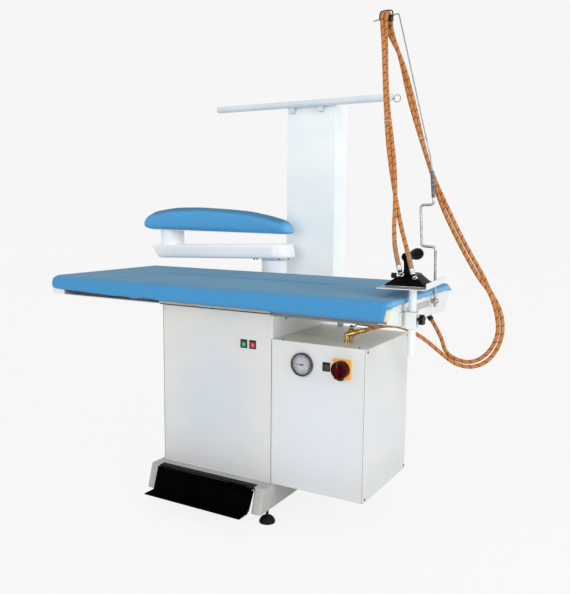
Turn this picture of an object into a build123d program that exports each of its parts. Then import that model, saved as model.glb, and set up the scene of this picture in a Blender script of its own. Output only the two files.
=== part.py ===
from build123d import *
import os
from math import asin, cos, degrees, pi, radians, sin, tan

# Vacuum ironing table with a built-in boiler, a rear column, a swinging sleeve arm, an iron on its
# rest, and two hoses that hang from a spring whip. Millimetres. The origin is on the floor under the
# middle of the machine, +X to the user's right, +Y away from the user, +Z up.

# ---- driving dimensions ----
board_x, board_y = 10.0, -132.0  # the board's centre in plan
running_gap = 0.05  # radial clearance of a pivot in its bore
slip_gap = 0.3  # clearance of pieces that pass through or face each other

# black pan-head screws
screw_radius, screw_head_radius, screw_head, screw_shank = 1.9, 3.6, 2.0, 5.0

# cabinet
cabinet_width, cabinet_depth = 477.0, 649.0
cabinet_bottom, cabinet_top = 140.0, 736.0
cabinet_overhang = 8.5  # how far the cabinet's middle is left of the board's
cabinet_front = board_y - 181.0
sheet = 2.0  # cabinet and casing sheet
bend = 2.0  # outer radius of a folded sheet's edge
panel_frame = 20.0  # width of the frame that the front panel seats on
panel_gap = 0.8

# base frame
beam_width, beam_height, beam_wall, beam_nose = 40.0, 84.0, 3.0, 8.0
beam_reach = 65.0  # beam top past the cabinet's front
beam_rake = 25.0  # how far the beam's nose slopes out towards its foot
beam_tail = 132.0  # beam past the cabinet's back
beam_outset = 10.0  # beam's outer face past the cabinet's side
rail_depth, rail_height = 40.0, 40.0
sill_thickness = 3.0

# levelling feet
foot_radius, foot_height, foot_neck = 28.5, 24.0, 9.0
stud_radius, stud_top = 5.0, 84.0
nut_across, nut_height = 17.0, 8.0
foot_front, foot_rear = -9.0, 72.0  # from the cabinet's front and back

# treadle
pedal_drop = 8.0  # pivot below the beam's top
pedal_setback = 71.0  # pivot in front of the cabinet
pin_radius = 3.5
barrel_radius = 7.0
treadle_sheet = 3.0
treadle_lip_z = 58.0
treadle_lip_reach = 83.0
treadle_side_gap = 2.5
treadle_lean = 19.8  # degrees from the vertical
spring_window = 36.0
spring_wire, spring_coil = 1.2, 6.4

# board
board_length, board_depth, board_top = 1400.0, 622.0, 833.0
board_post_gap = 3.0  # board's back edge in front of the sleeve post
board_right = board_x + board_length / 2
board_corner, board_edge = 34.0, 12.0
cover_thickness = 2.5
padding_thickness = 15.0
apron_thickness = 6.5
front_skirt_z, side_skirt_z = 762.0, 806.0
top_sheet_thickness = 3.0
tray_wall = 2.0
tray_back_out, tray_back_in = 24.0, 39.0  # rim past the tray's back, bottom in front of it
tray_end_gap = 10.0  # tray's end inside the cover's end

# ducts and fan
post_radius, duct_wall = 54.0, 3.0
duct_radius, branch_radius = 62.0, 40.0
fan_radius, fan_bottom, fan_top = 138.0, 250.0, 392.0
fan_shaft_radius = 6.0
outlet_width = 68.0
motor_radius = 75.0

# sleeve arm
post_x = board_x - 90.0
post_setback = 100.0  # post's axis in front of the cabinet's back
post_bottom, post_top = 600.0, 872.0
bush_flange = 4.0
arm_width, arm_height = 146.0, 58.0
arm_slope = 0.0332
arm_left, arm_nose = 612.0, 20.0  # arm's left end, and its round end's centre, from the pivot
arm_pivot_z = 885.0  # arm's underside at the pivot
arm_end_cut = 43.0
arm_wall = 2.0
upper_post_x = post_x - 550.0
pad_left, pad_right = 719.0, 91.0  # pad's ends from the pivot
pad_bottom_left, pad_bottom_right = 996.5, 989.0
pad_width_wide, pad_width_narrow = 156.0, 104.0
base_thickness, base_inset = 3.0, 4.0
sleeve_skin = 2.5

# column and rail
column_width, column_depth, column_top = 230.0, 114.0, 1546.0
column_left = board_x - 88.0
cap_drop = 14.0
rail_radius, rail_wall, rail_drop = 14.0, 1.5, 16.0  # the drop is from the column's top
rail_left, rail_right = board_x - 434.0, board_x + 395.0
ring_radius, ring_wire = 14.0, 1.3

# boiler
boiler_width, boiler_depth, boiler_top = 347.0, 387.0, 651.0
tank_radius, tank_bottom, tank_top, tank_wall = 100.0, 205.0, 520.0, 3.0
gauge_radius, gauge_body, gauge_depth, gauge_bezel = 40.0, 31.0, 28.0, 12.0
isolator_size, isolator_plate = 66.0, 5.0
knob_radius, knob_depth = 29.0, 26.0
rocker_width, rocker_height, rocker_bezel = 27.0, 30.0, 2.0
rocker_depth, rocker_pivot, rocker_stud, rocker_tip = 16.0, 5.0, 1.5, 8.0

# iron rest and iron
rest_x, rest_y, rest_turn = board_right - 7.0, board_y - 106.0, 5.4
rest_top = 860.0
rest_width, rest_length, rest_sheet, rest_flange = 149.0, 278.0, 2.0, 17.0
rest_tube_x, rest_tube_y = board_right + 22.0, board_y - 175.0
rest_tube_radius, rest_tube_bottom = 12.0, 650.0
clamp_size, clamp_bottom, clamp_top = 34.0, 733.0, 785.0
sole_width, sole_length, sole_height = 125.0, 205.0, 16.0
skirt_height = 28.0

# whip and hoses
whip_x, whip_y = board_right + 7.0, board_y + 92.0
whip_foot_z = 766.0
whip_radius, wand_radius = 4.5, 2.2
wand_knee_x, wand_knee_z = whip_x - 159.0, 1741.0
wand_tip_x, wand_tip_z = whip_x - 249.0, 1726.0
hose_diameter = 13.5

# ---- hose routes: from the iron up over the saddle, down past the boiler and in ----
steam_route = [
    (727, -319, 926), (713, -310, 959), (688, -282, 1020), (665, -240, 1090),
    (640, -199, 1190), (602, -159, 1290), (572, -119, 1400), (549, -84, 1530),
    (531, -66, 1642), (523, -60, 1700), (522, -60, 1746), (522, -20, 1746),
    (528, -17, 1694), (560, -13, 1606), (609, -8, 1462), (660, -4, 1288),
    (726, -1, 1126), (798, -1, 984), (874, -2, 870), (928, -3, 768),
    (941, -9, 684), (912, -18, 610), (860, -28, 572), (798, -42, 578),
    (748, -59, 617), (706, -88, 660), (667, -129, 694), (632, -168, 714),
    (590, -202, 714), (540, -211, 697),
]
cable_route = [
    (684, -320, 930), (667, -308, 974), (655, -284, 1032), (647, -252, 1105),
    (625, -214, 1200), (590, -174, 1295), (560, -132, 1405), (536, -95, 1530),
    (516, -71, 1642), (508, -60, 1700), (507, -60, 1746), (507, -20, 1746),
    (512, -17, 1692), (546, -13, 1600), (595, -8, 1457), (646, -4, 1282),
    (713, -1, 1120), (784, -1, 977), (860, -2, 861), (913, -3, 762),
    (925, -9, 688), (899, -18, 622), (852, -28, 594), (800, -36, 603),
    (760, -37, 644), (738, -35, 682), (704, -31, 722),
]

os.makedirs("parts", exist_ok=True)


def save(piece, name):
    """Label a finished piece and write it to its own file."""
    piece.part.label = name
    export_step(piece.part, f"parts/{name}.step")


def block(x, y, z, mode=Mode.ADD):
    """Add or cut a box between (low, high) limits."""
    with Locations(((x[0] + x[1]) / 2, (y[0] + y[1]) / 2, (z[0] + z[1]) / 2)):
        Box(x[1] - x[0], y[1] - y[0], z[1] - z[0], mode=mode)


def bar(start, end, radius, mode=Mode.ADD):
    """Add or cut a round bar from start to end."""
    a, b = Vector(*start), Vector(*end)
    with Locations(Plane(origin=(a + b) / 2, z_dir=b - a).location):
        Cylinder(radius, (b - a).length, mode=mode)


def tube(start, end, radius, wall):
    """Add a round tube from start to end and clear its bore."""
    bar(start, end, radius)
    bar(start, end, radius - wall, Mode.SUBTRACT)


def screw(at, inward):
    """Add a pan-head screw whose head sits on the surface at `at` and whose shank goes inward."""
    p, d = Vector(*at), Vector(*inward)
    bar(p - d * screw_head, p, screw_head_radius)
    bar(p, p + d * screw_shank, screw_radius)


def screw_hole(at, inward):
    """Cut the hole for the screw at `at` through a sheet."""
    p, d = Vector(*at), Vector(*inward)
    bar(p - d, p + d * screw_shank, screw_radius + running_gap, Mode.SUBTRACT)


# ---- places worked out from the sizes ----
cabinet_left = board_x - cabinet_overhang - cabinet_width / 2
cabinet_right = cabinet_left + cabinet_width
cabinet_back = cabinet_front + cabinet_depth
beam_bottom = cabinet_bottom - beam_height
left_beam = (cabinet_left - beam_outset, cabinet_left - beam_outset + beam_width)
right_beam = (cabinet_right + beam_outset - beam_width, cabinet_right + beam_outset)
beam_top_y = cabinet_front - beam_reach
beam_foot_y = beam_top_y - beam_rake
beam_end_y = cabinet_back + beam_tail
column_right = column_left + column_width
column_back = cabinet_back + column_depth
boiler_right = cabinet_right + boiler_width
boiler_back = cabinet_front + boiler_depth
pivot_y, pivot_z = cabinet_front - pedal_setback, cabinet_bottom - pedal_drop
post_y = cabinet_back - post_setback
board_back = post_y - post_radius - board_post_gap
board_front = board_back - board_depth
rail_z = column_top - rail_drop
fan_x, fan_y = post_x, cabinet_front + 241.0
plug_spot = (cabinet_right, cabinet_front + 94.0, cabinet_top - 23.0)
plug_radius = 4.0
casing_screws = [
    (boiler_right, y, z)
    for y in (cabinet_front + 12, boiler_back - 12)
    for z in (cabinet_bottom + 12, boiler_top - 9)
]
lid_screws = [(x, cabinet_front + 16, boiler_top) for x in (cabinet_right + 32, boiler_right - 32)]
cap_front = cabinet_back - sheet - slip_gap
cap_screws = [(x, cap_front, column_top - 6) for x in (column_left + 9, column_left + 195)]

# ---- base ----
foot_spots = [
    (sum(beam) / 2, y)
    for beam in (left_beam, right_beam)
    for y in (cabinet_front + foot_front, cabinet_back + foot_rear)
]
foot_plate = 5.0

with BuildPart() as base_frame:
    for x0, x1 in (left_beam, right_beam):
        with BuildSketch(Plane.YZ.offset(x0)):
            with BuildLine():
                Polyline(
                    (beam_foot_y, beam_bottom),
                    (beam_top_y, cabinet_bottom),
                    (beam_end_y, cabinet_bottom),
                    (beam_end_y, beam_bottom),
                    close=True,
                )
            make_face()
        extrude(amount=beam_width)
    noses = base_frame.edges().filter_by(lambda e: abs(e.tangent_at(0).X) < 0.1)
    fillet(noses.filter_by(lambda e: e.center().Y < beam_top_y).filter_by(
        lambda e: abs(e.tangent_at(0).Z) > 0.5), radius=10)
    fillet(base_frame.edges().group_by(Axis.Z)[-1], radius=bend)
    for x0, x1 in (left_beam, right_beam):
        with BuildSketch(Plane.YZ.offset(x0 + beam_wall)):
            with BuildLine():
                Polyline(
                    (beam_foot_y + beam_nose, beam_bottom),
                    (beam_top_y + beam_nose, cabinet_bottom - beam_wall),
                    (beam_end_y - beam_wall, cabinet_bottom - beam_wall),
                    (beam_end_y - beam_wall, beam_bottom),
                    close=True,
                )
            make_face()
        extrude(amount=beam_width - 2 * beam_wall, mode=Mode.SUBTRACT)
    for x, y in foot_spots:
        half = beam_width / 2 - beam_wall
        block((x - half, x + half), (y - 25, y + 25), (beam_bottom, beam_bottom + foot_plate))
        bar((x, y, beam_bottom - 1), (x, y, stud_top), stud_radius + running_gap, Mode.SUBTRACT)
    # box rails between the beams, under the cabinet's front and under the column
    between = (left_beam[1], right_beam[0])
    for y in (cabinet_front, cabinet_back):
        z = (cabinet_bottom - rail_height, cabinet_bottom)
        block(between, (y, y + rail_depth), z)
        block(between, (y + beam_wall, y + rail_depth - beam_wall),
              (z[0] + beam_wall, z[1] - beam_wall), Mode.SUBTRACT)
    # sill sheet over the treadle's pivot
    sill_front = pivot_y + barrel_radius + 2.0
    block(between, (sill_front, cabinet_front), (cabinet_bottom - sill_thickness, cabinet_bottom))
    bar((left_beam[1] - 8, pivot_y, pivot_z), (right_beam[0] + 8, pivot_y, pivot_z),
        pin_radius + running_gap, Mode.SUBTRACT)
save(base_frame, "base_frame")

with BuildPart() as levelling_feet:
    for x, y in foot_spots:
        with BuildSketch(Plane(origin=(x, y, 0), x_dir=(1, 0, 0), z_dir=(0, -1, 0))):
            with BuildLine():
                Line((0, 0), (foot_radius, 0))
                Line((foot_radius, 0), (foot_radius, 5))
                ThreePointArc((foot_radius, 5), (foot_radius * 0.78, 16), (foot_neck, foot_height))
                Line((foot_neck, foot_height), (0, foot_height))
                Line((0, foot_height), (0, 0))
            make_face()
        revolve(axis=Axis((x, y, 0), (0, 0, 1)))
        bar((x, y, foot_height / 2), (x, y, stud_top), stud_radius)
    for x, y in foot_spots:
        with BuildSketch(Plane.XY.offset(beam_bottom - nut_height)):
            with Locations((x, y)):
                RegularPolygon(nut_across / 2, 6, major_radius=False)
                Circle(stud_radius + slip_gap, mode=Mode.SUBTRACT)
        extrude(amount=nut_height)
save(levelling_feet, "levelling_feet")

# ---- treadle ----
treadle_x = (left_beam[1] + treadle_side_gap, right_beam[0] - treadle_side_gap)
spring_x = (sum(treadle_x) - spring_window) / 2
lean = tan(radians(treadle_lean))
across = treadle_sheet / cos(radians(treadle_lean))


def treadle_front(z):
    """Y of the treadle's front face at height z."""
    return pivot_y - barrel_radius - (pivot_z - z) * lean


with BuildPart() as treadle:
    lip_top = treadle_lip_z + treadle_sheet
    with BuildSketch(Plane.YZ.offset(treadle_x[0])):
        with BuildLine():
            Polyline(
                (treadle_front(pivot_z), pivot_z),
                (treadle_front(lip_top), lip_top),
                (pivot_y - treadle_lip_reach, lip_top),
                (pivot_y - treadle_lip_reach, treadle_lip_z),
                (treadle_front(treadle_lip_z) + across, treadle_lip_z),
                (treadle_front(pivot_z) + across, pivot_z),
                close=True,
            )
        make_face()
        with Locations((pivot_y, pivot_z)):
            Circle(barrel_radius)
            Circle(pin_radius + running_gap, mode=Mode.SUBTRACT)
    extrude(amount=treadle_x[1] - treadle_x[0])
    # window for the return spring
    block((spring_x, spring_x + spring_window), (pivot_y - 20, pivot_y + 20),
          (pivot_z - 13, pivot_z + 20), Mode.SUBTRACT)
save(treadle, "treadle")

with BuildPart() as treadle_pin:
    bar((left_beam[1] - beam_wall - 2, pivot_y, pivot_z),
        (right_beam[0] + beam_wall + 2, pivot_y, pivot_z), pin_radius)
save(treadle_pin, "treadle_pin")

coil_pitch = 3.0
leg_z, knee_z = pivot_z - 26.0, pivot_z - 13.0
under_sill = cabinet_bottom - sill_thickness - spring_wire - slip_gap
coil_turns = 8 + (180 - degrees(asin((under_sill - pivot_z) / spring_coil))) / 360
coil_start = spring_x + (spring_window - coil_pitch * coil_turns) / 2
coil_centre = (coil_start, pivot_y, pivot_z)
coil = Edge.make_helix(coil_pitch, coil_pitch * coil_turns, spring_coil, coil_centre, (1, 0, 0),
                       lefthand=True)
coil = coil.rotate(Axis(coil_centre, (1, 0, 0)), 90)
with BuildPart() as treadle_spring:
    with BuildLine():
        add(coil)
    with BuildSketch(Plane(origin=coil @ 0, z_dir=coil % 0)):
        Circle(spring_wire)
    sweep(path=coil, is_frenet=True)
    # one leg lies behind the treadle's sheet, the other under the sill
    low, high, leg = coil @ 0, coil @ 1, spring_wire - 0.02
    knee = (low.X, low.Y, knee_z)
    bar((low.X, low.Y, low.Z + 0.2), knee, leg)
    bar(knee, (low.X, treadle_front(leg_z) + across + spring_wire + slip_gap, leg_z), leg)
    with Locations(knee):
        Sphere(leg)
    bar((high.X, high.Y - 0.6, high.Z), (high.X, sill_front + 22, high.Z), leg)
save(treadle_spring, "treadle_spring")

plunger_radius = 3.0
plunger_z = pivot_z - 16.0
switch_x = (treadle_x[1] - 110, treadle_x[1] - 60)
switch_y = (sill_front + 5, sill_front + 43)
with BuildPart() as pedal_switch:
    block(switch_x, switch_y, (plunger_z - 11, cabinet_bottom - sill_thickness))
    bar((sum(switch_x) / 2, switch_y[0] - 1, plunger_z),
        (sum(switch_x) / 2, switch_y[0] + 20, plunger_z), plunger_radius + running_gap, Mode.SUBTRACT)
    fillet(pedal_switch.edges().filter_by(Axis.Y), radius=2)
save(pedal_switch, "pedal_switch")

with BuildPart() as switch_plunger:
    tip = treadle_front(plunger_z) + across + plunger_radius * lean + slip_gap
    bar((sum(switch_x) / 2, tip, plunger_z), (sum(switch_x) / 2, switch_y[0] + 12, plunger_z),
        plunger_radius)
    fillet(switch_plunger.edges().sort_by(Axis.Y)[0], radius=1.5)
save(switch_plunger, "switch_plunger")

# ---- cabinet ----
rocker_rows = {
    "green_rocker": (cabinet_right - 115.0, cabinet_top - 112.0),
    "red_rocker": (cabinet_right - 78.5, cabinet_top - 112.0),
    "boiler_rocker": (cabinet_right + 207.0, boiler_top - 71.0),
}
rocker_body = (rocker_width - 4.0, rocker_height - 3.0)
panel_x = (cabinet_left + 5.0, cabinet_right - 3.0)
panel_z = (cabinet_bottom + 2.0, cabinet_top - 2.0)
outlet_x = (fan_x + fan_radius - outlet_width, fan_x + fan_radius)
outlet_z = (fan_bottom + 12.0, fan_top - 12.0)


def grown(pair, by):
    """A (low, high) pair made larger by the same amount at both ends."""
    return (pair[0] - by, pair[1] + by)


with BuildPart() as cabinet_shell:
    inner_x = grown((cabinet_left, cabinet_right), -sheet)
    block((cabinet_left, cabinet_right), (cabinet_front, cabinet_back), (cabinet_bottom, cabinet_top))
    fillet(cabinet_shell.edges().filter_by(Axis.Z), radius=bend)
    block(grown(panel_x, panel_gap), (cabinet_front, cabinet_front + sheet),
          grown(panel_z, panel_gap), Mode.SUBTRACT)
    block(grown(panel_x, -panel_frame), (cabinet_front, cabinet_front + 3 * sheet),
          grown(panel_z, -panel_frame), Mode.SUBTRACT)
    block(inner_x, (cabinet_front + 2 * sheet, cabinet_back - sheet),
          (cabinet_bottom + sheet, cabinet_top - sheet), Mode.SUBTRACT)
    for x, y, r in ((fan_x, fan_y, duct_radius), (post_x, post_y, post_radius)):
        bar((x, y, cabinet_top - 5), (x, y, cabinet_top + 5), r + slip_gap, Mode.SUBTRACT)
    block(grown(outlet_x, slip_gap), (cabinet_back - 5, cabinet_back + 5),
          grown(outlet_z, slip_gap), Mode.SUBTRACT)
    bar(plug_spot, (cabinet_right - 5, plug_spot[1], plug_spot[2]), plug_radius, Mode.SUBTRACT)
save(cabinet_shell, "cabinet_shell")

with BuildPart() as front_panel:
    block(panel_x, (cabinet_front, cabinet_front + sheet), panel_z)
    fillet(front_panel.edges().filter_by(Axis.Z).group_by(Axis.Y)[0], radius=1)
    for name in ("green_rocker", "red_rocker"):
        x, z = rocker_rows[name]
        block((x - rocker_body[0] / 2 - slip_gap, x + rocker_body[0] / 2 + slip_gap),
              (cabinet_front - 1, cabinet_front + sheet + 1),
              (z - rocker_body[1] / 2 - slip_gap, z + rocker_body[1] / 2 + slip_gap), Mode.SUBTRACT)
save(front_panel, "front_panel")

with BuildPart() as suction_duct:
    tube((fan_x, fan_y, fan_top), (fan_x, fan_y, cabinet_top), duct_radius, duct_wall)
    branch_z = post_bottom + 50.0
    bar((fan_x, fan_y, branch_z), (post_x, post_y, branch_z), branch_radius)
    bar((fan_x, fan_y, branch_z), (post_x, post_y, branch_z), branch_radius - duct_wall, Mode.SUBTRACT)
    bar((fan_x, fan_y, fan_top), (fan_x, fan_y, cabinet_top), duct_radius - duct_wall, Mode.SUBTRACT)
    bar((post_x, post_y, post_bottom - 10), (post_x, post_y, cabinet_top), post_radius + slip_gap,
        Mode.SUBTRACT)
save(suction_duct, "suction_duct")

# ---- fan ----
housing_wall, stand_circle = sheet, 115.0
with BuildPart() as fan_housing:
    column_inside = cabinet_back + sheet
    bar((fan_x, fan_y, fan_bottom), (fan_x, fan_y, fan_top), fan_radius)
    block(outlet_x, (fan_y, column_inside), outlet_z)
    bar((fan_x, fan_y, fan_bottom + housing_wall), (fan_x, fan_y, fan_top - housing_wall),
        fan_radius - housing_wall, Mode.SUBTRACT)
    block(grown(outlet_x, -housing_wall), (fan_y, column_inside), grown(outlet_z, -housing_wall),
          Mode.SUBTRACT)
    bar((fan_x, fan_y, fan_top - 5), (fan_x, fan_y, fan_top + 5), duct_radius - duct_wall, Mode.SUBTRACT)
    bar((fan_x, fan_y, fan_bottom - 5), (fan_x, fan_y, fan_bottom + 5), fan_shaft_radius + 4,
        Mode.SUBTRACT)
    for turn in (45, 135, 225, 315):
        x = fan_x + stand_circle * cos(radians(turn))
        y = fan_y + stand_circle * sin(radians(turn))
        bar((x, y, cabinet_bottom + sheet), (x, y, fan_bottom), 8)
save(fan_housing, "fan_housing")

with BuildPart() as fan_motor:
    boss = 14.0
    bar((fan_x, fan_y, cabinet_bottom + sheet), (fan_x, fan_y, fan_bottom - boss), motor_radius)
    fillet(fan_motor.edges().group_by(Axis.Z)[-1], radius=8)
    bar((fan_x, fan_y, fan_bottom - boss), (fan_x, fan_y, fan_bottom), 24)
    bar((fan_x, fan_y, cabinet_bottom + 40), (fan_x, fan_y, fan_bottom), fan_shaft_radius + running_gap,
        Mode.SUBTRACT)
save(fan_motor, "fan_motor")

with BuildPart() as fan_impeller:
    blades, blade_reach = 12, fan_radius - 22.0
    disc_z = fan_bottom + 14.0
    bar((fan_x, fan_y, disc_z), (fan_x, fan_y, disc_z + 3), blade_reach)
    bar((fan_x, fan_y, disc_z), (fan_x, fan_y, disc_z + 34), 20)
    bar((fan_x, fan_y, cabinet_bottom + 45), (fan_x, fan_y, disc_z + 38), fan_shaft_radius)
    with Locations((fan_x, fan_y, disc_z)):
        with PolarLocations(blade_reach - 30, blades):
            with Locations(Location((0, 0, 0), (0, 0, 35))):
                Box(56, 2, 70, align=(Align.CENTER, Align.CENTER, Align.MIN))
save(fan_impeller, "fan_impeller")

# ---- rocker switches ----
bezel_y = (cabinet_front - rocker_bezel, cabinet_front)
opening = (rocker_body[0] - 3.0, rocker_body[1] - 2.0)
stud = 1.2

with BuildPart() as rocker_frames:
    for x, z in rocker_rows.values():
        block((x - rocker_width / 2, x + rocker_width / 2), bezel_y,
              (z - rocker_height / 2, z + rocker_height / 2))
        block((x - rocker_body[0] / 2, x + rocker_body[0] / 2),
              (cabinet_front, cabinet_front + rocker_depth),
              (z - rocker_body[1] / 2, z + rocker_body[1] / 2))
        block((x - opening[0] / 2, x + opening[0] / 2),
              (bezel_y[0], cabinet_front + rocker_depth - 2),
              (z - opening[1] / 2, z + opening[1] / 2), Mode.SUBTRACT)
        bar((x - opening[0] / 2 - stud, bezel_y[0] + rocker_pivot, z),
            (x + opening[0] / 2 + stud, bezel_y[0] + rocker_pivot, z), rocker_stud + running_gap,
            Mode.SUBTRACT)
save(rocker_frames, "rocker_frames")


def rocker(x, z):
    """A rocker paddle tipped about its pivot, its upper half out, with a pivot stud each side."""
    half, reach = opening[1] / 2 - 1.6, opening[0] / 2 - slip_gap
    y, tip = bezel_y[0] + rocker_pivot, radians(rocker_tip)
    face = rocker_pivot + 0.9
    with BuildPart() as paddle:
        with BuildSketch(Plane(origin=(x - reach, y, z), x_dir=(0, cos(tip), sin(tip)), z_dir=(1, 0, 0))):
            with BuildLine():
                ThreePointArc((-face, half), (-face + 1.8, 0), (-face, -half))
                Line((-face, -half), (2.5, -half * 0.7))
                Line((2.5, -half * 0.7), (2.5, half * 0.7))
                Line((2.5, half * 0.7), (-face, half))
            make_face()
        extrude(amount=2 * reach)
        studs = opening[0] / 2 + stud - slip_gap
        bar((x - studs, y, z), (x + studs, y, z), rocker_stud)
    return paddle


for name, (x, z) in rocker_rows.items():
    save(rocker(x, z), name)

# ---- boiler ----
gauge_x, gauge_z = cabinet_right + 118.0, boiler_top - 73.0
isolator_x, isolator_z = cabinet_right + 264.0, boiler_top - 71.0
hose_start = Vector(*steam_route[-1])  # where the steam hose leaves its ferrule
outlet = (hose_start - Vector(*steam_route[-2])).normalized()
elbow_top = hose_start + outlet * 66.5
elbow_x, elbow_y = elbow_top.X, elbow_top.Y
valve_x, valve_y = cabinet_right + 213.0, board_y
tank_x, tank_y = cabinet_right + boiler_width / 2 - 5.0, cabinet_front + boiler_depth / 2
riser_radius = 6.0

with BuildPart() as boiler_casing:
    block((cabinet_right, boiler_right), (cabinet_front, boiler_back), (cabinet_bottom, boiler_top))
    fillet(boiler_casing.edges().filter_by(Axis.Z), radius=3)
    block(grown((cabinet_right, boiler_right), -sheet), grown((cabinet_front, boiler_back), -sheet),
          (cabinet_bottom + sheet, boiler_top + 1), Mode.SUBTRACT)
    bar((gauge_x, cabinet_front - 1, gauge_z), (gauge_x, cabinet_front + 5, gauge_z),
        gauge_body + slip_gap, Mode.SUBTRACT)
    bar((isolator_x, cabinet_front - 1, isolator_z), (isolator_x, cabinet_front + 5, isolator_z),
        15 + slip_gap, Mode.SUBTRACT)
    x, z = rocker_rows["boiler_rocker"]
    block(grown((x - rocker_body[0] / 2, x + rocker_body[0] / 2), slip_gap),
          (cabinet_front - 1, cabinet_front + sheet + 1),
          grown((z - rocker_body[1] / 2, z + rocker_body[1] / 2), slip_gap), Mode.SUBTRACT)
    for spot in casing_screws:
        screw_hole(spot, (-1, 0, 0))
save(boiler_casing, "boiler_casing")

with BuildPart() as boiler_lid:
    lid_x = grown((cabinet_right, boiler_right), -sheet - slip_gap)
    lid_y = grown((cabinet_front, boiler_back), -sheet - slip_gap)
    block(lid_x, lid_y, (boiler_top - 18, boiler_top))
    fillet(boiler_lid.edges().filter_by(Axis.Z) + boiler_lid.edges().group_by(Axis.Z)[-1], radius=bend)
    block(grown(lid_x, -sheet), grown(lid_y, -sheet), (boiler_top - 19, boiler_top - sheet), Mode.SUBTRACT)
    bar((elbow_x, elbow_y, boiler_top - 5), (elbow_x, elbow_y, boiler_top + 5),
        riser_radius + slip_gap, Mode.SUBTRACT)
    bar((valve_x, valve_y, boiler_top - 5), (valve_x, valve_y, boiler_top + 5),
        riser_radius + slip_gap, Mode.SUBTRACT)
    # folded tab at the lid's rear
    block((cabinet_right + 62, cabinet_right + 87), (boiler_back - sheet - slip_gap - 2, boiler_back - sheet - slip_gap),
          (boiler_top - 8, boiler_top + 11))
    for spot in lid_screws:
        screw_hole(spot, (0, 0, -1))
    for spot in casing_screws:
        screw_hole(spot, (-1, 0, 0))
save(boiler_lid, "boiler_lid")

with BuildPart() as boiler_tank:
    bar((tank_x, tank_y, tank_bottom), (tank_x, tank_y, tank_top), tank_radius)
    fillet(boiler_tank.edges().filter_by(GeomType.CIRCLE), radius=25)
    for turn in (45, 135, 225, 315):
        x = tank_x + 70 * cos(radians(turn))
        y = tank_y + 70 * sin(radians(turn))
        bar((x, y, cabinet_bottom + sheet), (x, y, tank_bottom + 12), 9)
    # steam riser with two bends, from the tank's top to just under the elbow
    with BuildLine():
        riser = FilletPolyline(
            (tank_x, tank_y - 55, tank_top - 1),
            (tank_x, tank_y - 55, tank_top + 65),
            (elbow_x, elbow_y, tank_top + 65),
            (elbow_x, elbow_y, boiler_top + 4),
            radius=18,
        )
    with BuildSketch(Plane(origin=riser @ 0, z_dir=riser % 0)):
        Circle(riser_radius)
    sweep(path=riser)
    bar((tank_x, tank_y, tank_bottom + tank_wall), (tank_x, tank_y, tank_top - tank_wall),
        tank_radius - tank_wall - 22, Mode.SUBTRACT)
    bar((tank_x, tank_y, tank_bottom + 24), (tank_x, tank_y, tank_top - 24), tank_radius - tank_wall,
        Mode.SUBTRACT)
    bar((tank_x, tank_y, tank_top - 10), (tank_x, tank_y, tank_top + 5), 30, Mode.SUBTRACT)
save(boiler_tank, "boiler_tank")

with BuildPart() as heating_element:
    bar((tank_x, tank_y, tank_top), (tank_x, tank_y, tank_top + 10), 46)
    top, bottom = tank_top + 22, tank_bottom + 60
    for turn in (0, 120, 240):
        # one hairpin: down, across and up again
        feet = [(tank_x + 20 * cos(radians(t)), tank_y + 20 * sin(radians(t))) for t in (turn - 20, turn + 70)]
        with BuildLine():
            hairpin = FilletPolyline((*feet[0], top), (*feet[0], bottom), (*feet[1], bottom),
                                     (*feet[1], top), radius=13)
        with BuildSketch(Plane(origin=hairpin @ 0, z_dir=hairpin % 0)):
            Circle(4)
        sweep(path=hairpin)
save(heating_element, "heating_element")

pump_x, pump_y, pump_z = boiler_right - 70.0, boiler_back - 55.0, cabinet_bottom + 42.0
feed_z = tank_bottom + 95.0
feed_y = tank_y + 20.0
with BuildPart() as feed_pump:
    block((pump_x - 45, pump_x + 45), (pump_y - 35, pump_y + 35), (cabinet_bottom + sheet, pump_z - 30))
    bar((pump_x - 40, pump_y, pump_z), (pump_x + 18, pump_y, pump_z), 31)
    bar((pump_x + 18, pump_y, pump_z), (pump_x + 44, pump_y, pump_z), 38)
    # feed pipe up and across to the tank's side
    with BuildLine():
        feed = FilletPolyline(
            (pump_x + 30, pump_y, pump_z + 28),
            (pump_x + 30, pump_y, feed_z),
            (pump_x + 30, feed_y, feed_z),
            (tank_x + tank_radius - 3, feed_y, feed_z),
            radius=14,
        )
    with BuildSketch(Plane(origin=feed @ 0, z_dir=feed % 0)):
        Circle(5)
    sweep(path=feed)
    bar((tank_x, tank_y, tank_bottom), (tank_x, tank_y, tank_top), tank_radius + slip_gap, Mode.SUBTRACT)
save(feed_pump, "feed_pump")

# brass elbow that carries the steam hose's ferrule, and the drain valve behind it
with BuildPart() as brass_fittings:
    bar((elbow_x, elbow_y, boiler_top), (elbow_x, elbow_y, boiler_top + 7), 11)
    bar((elbow_x, elbow_y, boiler_top), elbow_top, 8.5)
    with Locations(elbow_top):
        Sphere(9)
    bar(elbow_top, elbow_top - outlet * 20, 8)
    bar(elbow_top - outlet * 20, elbow_top - outlet * 32, 10)
    bar(elbow_top - outlet * 32, hose_start, 7.6)
    bar((elbow_x, elbow_y, boiler_top - 3), (elbow_x, elbow_y, boiler_top + 5), riser_radius + running_gap,
        Mode.SUBTRACT)
    # valve body with its stem boss
    bar((valve_x, valve_y, boiler_top - 12), (valve_x, valve_y, boiler_top), riser_radius)
    bar((valve_x, valve_y, boiler_top), (valve_x, valve_y, boiler_top + 14), 9)
    with Locations((valve_x, valve_y, boiler_top + 22)):
        Sphere(12)
    bar((valve_x, valve_y, boiler_top + 22), (valve_x, valve_y, boiler_top + 37), 6)
    bar((valve_x, valve_y, boiler_top + 25), (valve_x, valve_y, boiler_top + 38), 3 + running_gap,
        Mode.SUBTRACT)
save(brass_fittings, "brass_fittings")

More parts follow.
